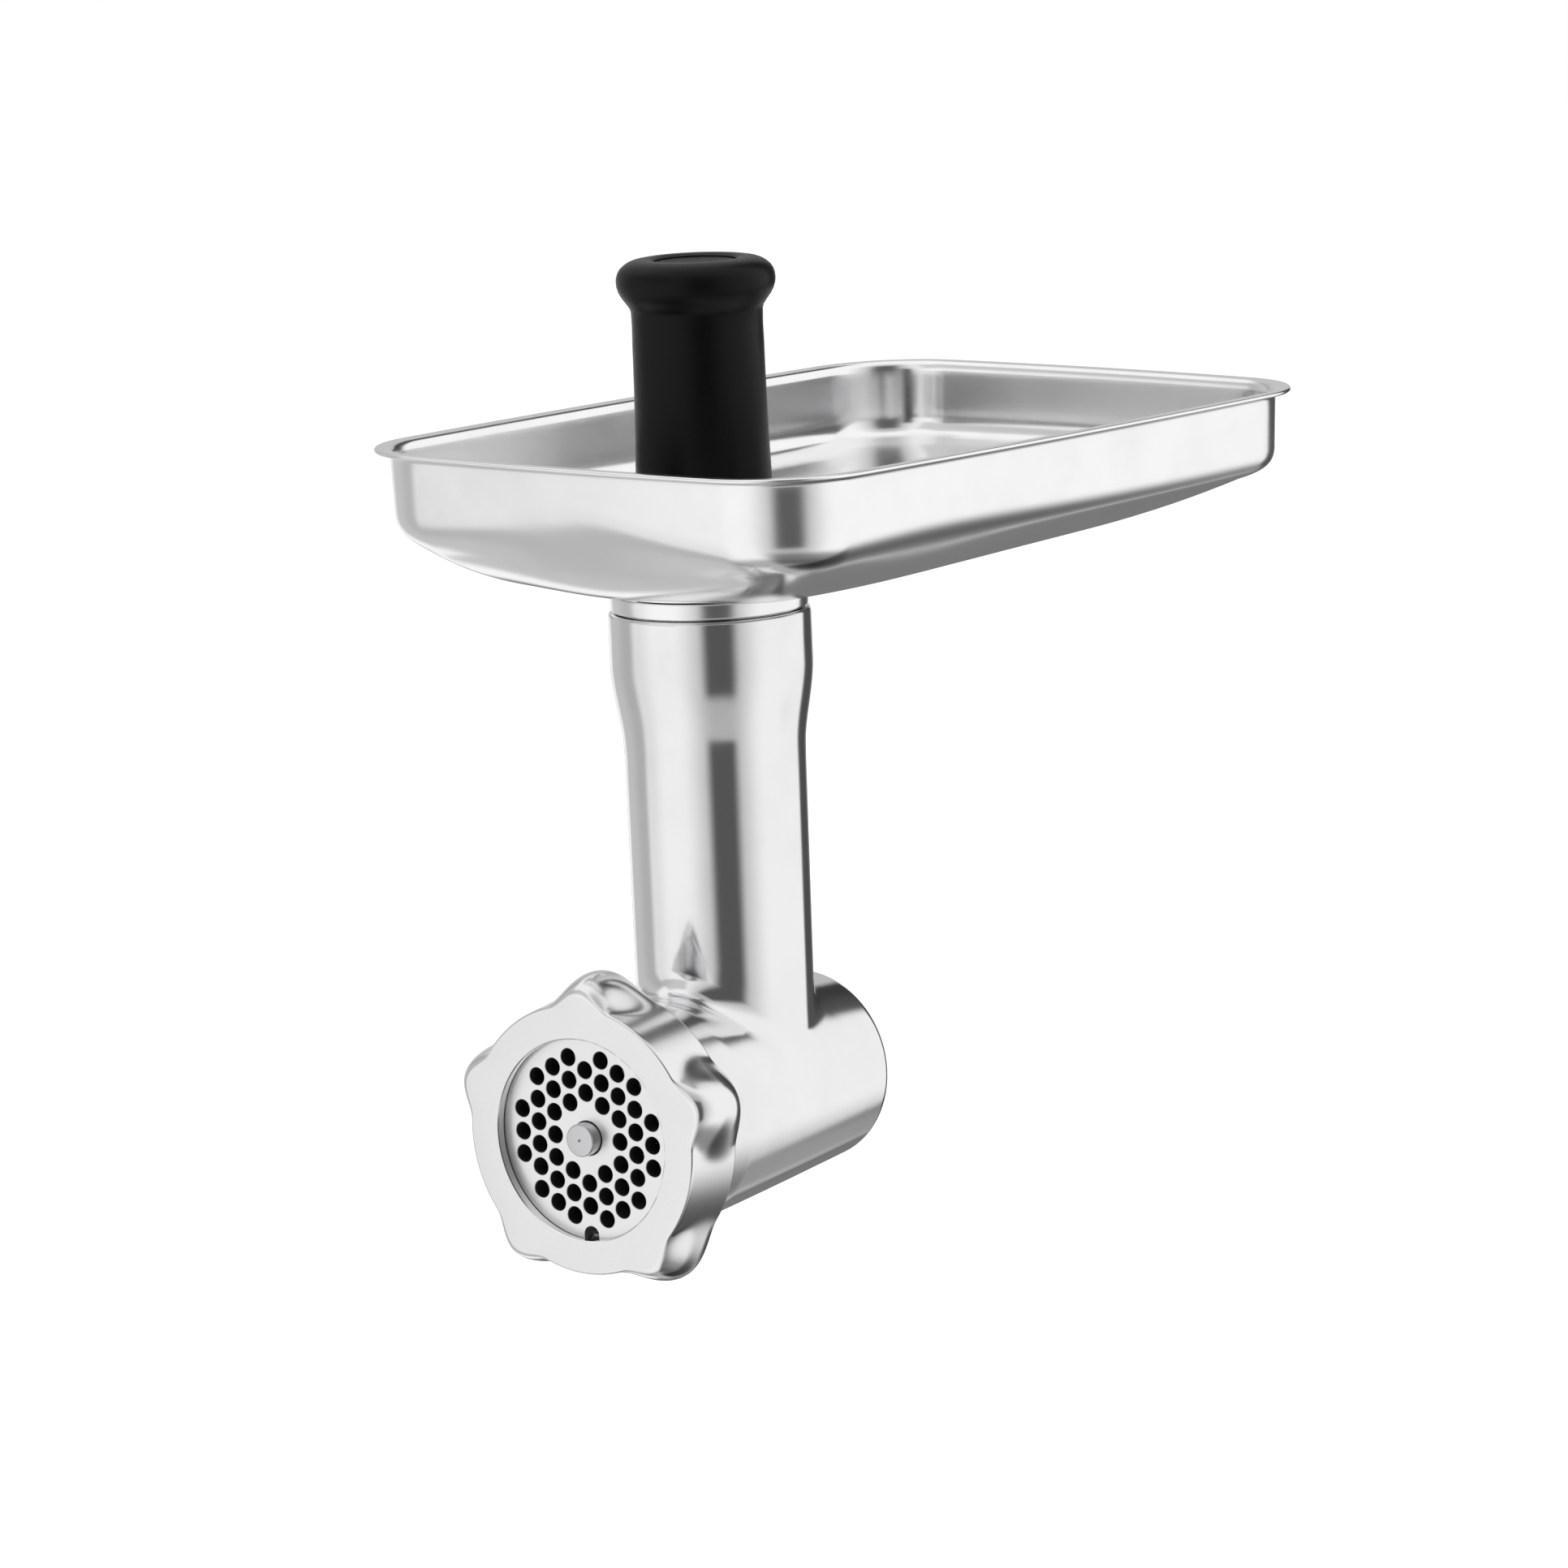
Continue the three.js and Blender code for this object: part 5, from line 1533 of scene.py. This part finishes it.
def make_screws(sizes):
    """Socket-headed screws, one shaped and copied round the adapter."""
    radius = sizes.screw_head
    head = sizes.screw_height
    tip = low("adapter_screw_1", 1)
    socket = radius * 0.5
    pitch = 0.5 * MM
    thread_depth = 0.22 * MM
    thread_start = tip + 0.6 * MM
    count = 48
    turn = TURN * np.arange(count) / count
    # A six-sided socket, as a radius for each direction.
    hexagon = socket * math.cos(math.pi / 6) / np.cos((turn % (TURN / 6)) - math.pi / 6)

    def row(reach, y):
        reach = np.broadcast_to(reach, (count,))
        return np.stack([sizes.screw_circle + reach * np.cos(turn), np.full(count, y),
                         reach * np.sin(turn)], 1)

    crown = [(radius, -0.35 * head), (radius * 0.97, -0.2 * head), (radius * 0.88, -0.07 * head),
             (radius * 0.75, 0.0)]
    rows = [row(sizes.screw_shank * 0.6, tip), row(sizes.screw_shank, thread_start)]
    for y in np.arange(thread_start, -head - 0.3 * MM, pitch / 4):
        phase = (y / pitch - turn / TURN) % 1.0
        rows.append(row(sizes.screw_shank - thread_depth * np.abs(phase - 0.5) * 2, y))
    rows += [row(sizes.screw_shank, -head), row(radius, -head)]
    rows += [row(r, y) for r, y in crown]
    rows += [row(hexagon * 1.06, 0.0), row(hexagon, -0.08 * MM), row(hexagon, -0.6 * head)]
    shell = Shell()
    shell.rows(rows)
    shell.disc(rows[0])
    shell.disc(rows[-1])
    screws = shell.object("adapter_screws", [])
    nodes = sorted(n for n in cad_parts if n.startswith("adapter_screw_"))
    grown(screws, copies_tree(), {"Count": len(nodes), "First": sizes.screw_first,
                                  "Step": TURN / len(nodes), "Material": fastener_steel()})
    keep(screws, "housing", "fastener_steel", *nodes)


def make_shank(sizes):
    """The drive shank: a round journal with a square end for the mixer's socket."""
    front, rear = low("drive_shank", 1), high("drive_shank", 1)
    journal_front = low("thrust_washer", 1)
    journal_rear = high("hub_adapter", 1)
    edge = sizes.edge
    spigot = sizes.spigot
    shell = Shell()
    rows = [ring_points(r, y, 128) for r, y in [
        (spigot - edge, front), (spigot, front + edge), (spigot, journal_front),
        (sizes.journal - edge, journal_front), (sizes.journal, journal_front + edge),
        (sizes.journal, journal_rear - edge), (sizes.journal - edge, journal_rear)]]
    shell.rows(rows)
    shell.disc(rows[0])
    shell.disc(rows[-1])
    corner = 0.9 * MM
    block = [square_row(sizes.shank, corner, journal_rear - 0.5 * MM, 6),
             square_row(sizes.shank, corner, rear - corner, 6),
             square_row(sizes.shank - 2 * corner, 0.6 * MM, rear, 6)]
    shell.rows(block)
    shell.disc(block[0])
    shell.disc(block[-1])
    piece = shell.object("square_drive_shank", [turned_steel()])
    keep(piece, "rotor", "machined_steel", "drive_shank")


def make_bush(sizes):
    """The shaft's bush, its rear edge rounded."""
    front, rear = low("shaft_bush", 1), high("shaft_bush", 1)
    outer = high("shaft_bush", 0)
    inner = sizes.journal + GAP
    profile = round_profile([(inner, front), (outer, front), (outer, rear), (inner, rear)],
                            [0.2 * MM, 0.3 * MM, 0.5 * MM, 0.5 * MM], 4)
    piece = turned("shaft_bush_sleeve", profile, [bearing_plastic()], 128)
    keep(piece, "housing", "bearing_plastic", "shaft_bush")


def finish_inner_nodes():
    """Gives the CAD nodes that stay their own finishes."""
    finishes = {
        "adapter_gasket": seal_rubber, "shaft_seal": seal_rubber,
        "thrust_washer": bearing_plastic, "shank_cross_pin": fastener_steel,
        # The knife gets the near-black painted shade, as it lies in shade behind the plate.
        "plate_key": fastener_steel, "cutting_knife": dark_burr, "auger": cast_steel,
    }
    for node, material in finishes.items():
        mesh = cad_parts[node].data
        mesh.materials.clear()
        mesh.materials.append(material())


# ---------------------------------------------------------------- operators


class GRINDER_OT_stage(bpy.types.Operator):
    """Set the camera, the surroundings, the floor and the soft light"""

    bl_idname = "grinder.stage"
    bl_label = "Stage"

    def execute(self, context):
        studio = context.scene.grinder_studio
        make_camera(studio)
        make_surroundings(studio)
        make_floor(studio)
        make_light("top_soft_light", (-0.6, -0.5, 1.6), (0, 0, 0.1), (1.6, 1.6), 14)
        context.scene.view_settings.view_transform = "Standard"
        return {"FINISHED"}


class GRINDER_OT_housing(bpy.types.Operator):
    """Build the casting with its barrel, feed tube, thread and ribs"""

    bl_idname = "grinder.housing"
    bl_label = "Housing"

    def execute(self, context):
        make_housing(context.scene.grinder_housing)
        make_ribs(context.scene.grinder_housing)
        return {"FINISHED"}


class GRINDER_OT_outlet(bpy.types.Operator):
    """Build the ring nut, the perforated plate and the knife's pin"""

    bl_idname = "grinder.outlet"
    bl_label = "Ring nut and plate"

    def execute(self, context):
        make_ring(context.scene.grinder_ring, context.scene.grinder_housing.thread_pitch)
        make_plate(context.scene.grinder_plate)
        make_stud(context.scene.grinder_plate)
        return {"FINISHED"}


class GRINDER_OT_tray(bpy.types.Operator):
    """Build the feed tray and its collar"""

    bl_idname = "grinder.tray"
    bl_label = "Tray and collar"

    def execute(self, context):
        make_tray(context.scene.grinder_tray)
        make_collar(context.scene.grinder_tray)
        return {"FINISHED"}


class GRINDER_OT_pusher(bpy.types.Operator):
    """Build the pusher and its cap"""

    bl_idname = "grinder.pusher"
    bl_label = "Pusher"

    def execute(self, context):
        make_pusher(context.scene.grinder_pusher)
        make_cap()
        return {"FINISHED"}


class GRINDER_OT_hub(bpy.types.Operator):
    """Build the bayonet adapter, its screws, the bush and the drive shank"""

    bl_idname = "grinder.hub"
    bl_label = "Hub"

    def execute(self, context):
        hub = context.scene.grinder_hub
        make_adapter(hub)
        make_screws(hub)
        make_bush(hub)
        make_shank(hub)
        return {"FINISHED"}


class GRINDER_OT_inner(bpy.types.Operator):
    """Finish the knife, the auger and the small pieces inside"""

    bl_idname = "grinder.inner"
    bl_label = "Inner pieces"

    def execute(self, context):
        finish_inner_nodes()
        return {"FINISHED"}


OPERATORS = (GRINDER_OT_stage, GRINDER_OT_housing, GRINDER_OT_outlet, GRINDER_OT_tray,
             GRINDER_OT_pusher, GRINDER_OT_hub, GRINDER_OT_inner)


class GRINDER_PT_panel(bpy.types.Panel):
    """Lists the grinder's pieces"""

    bl_label = "Meat Grinder Head"
    bl_idname = "GRINDER_PT_panel"
    bl_space_type = "VIEW_3D"
    bl_region_type = "UI"
    bl_category = "Grinder"

    def draw(self, context):
        for operator in OPERATORS:
            self.layout.operator(operator.bl_idname)


SETTINGS = {
    "grinder_housing": HousingSizes, "grinder_ring": RingSizes, "grinder_plate": PlateSizes,
    "grinder_tray": TraySizes, "grinder_pusher": PusherSizes, "grinder_hub": HubSizes,
    "grinder_colours": FinishColours, "grinder_studio": StudioSizes,
}
CLASSES = (*SETTINGS.values(), *OPERATORS, GRINDER_PT_panel)


def register():
    for entry in CLASSES:
        bpy.utils.register_class(entry)
    for name, group in SETTINGS.items():
        setattr(bpy.types.Scene, name, PointerProperty(type=group))


def unregister():
    for name in SETTINGS:
        delattr(bpy.types.Scene, name)
    for entry in reversed(CLASSES):
        bpy.utils.unregister_class(entry)


def main():
    register()
    bpy.ops.grinder.stage()
    bpy.ops.grinder.housing()
    bpy.ops.grinder.outlet()
    bpy.ops.grinder.tray()
    bpy.ops.grinder.pusher()
    bpy.ops.grinder.hub()
    bpy.ops.grinder.inner()


if __name__ == "__main__":
    main()
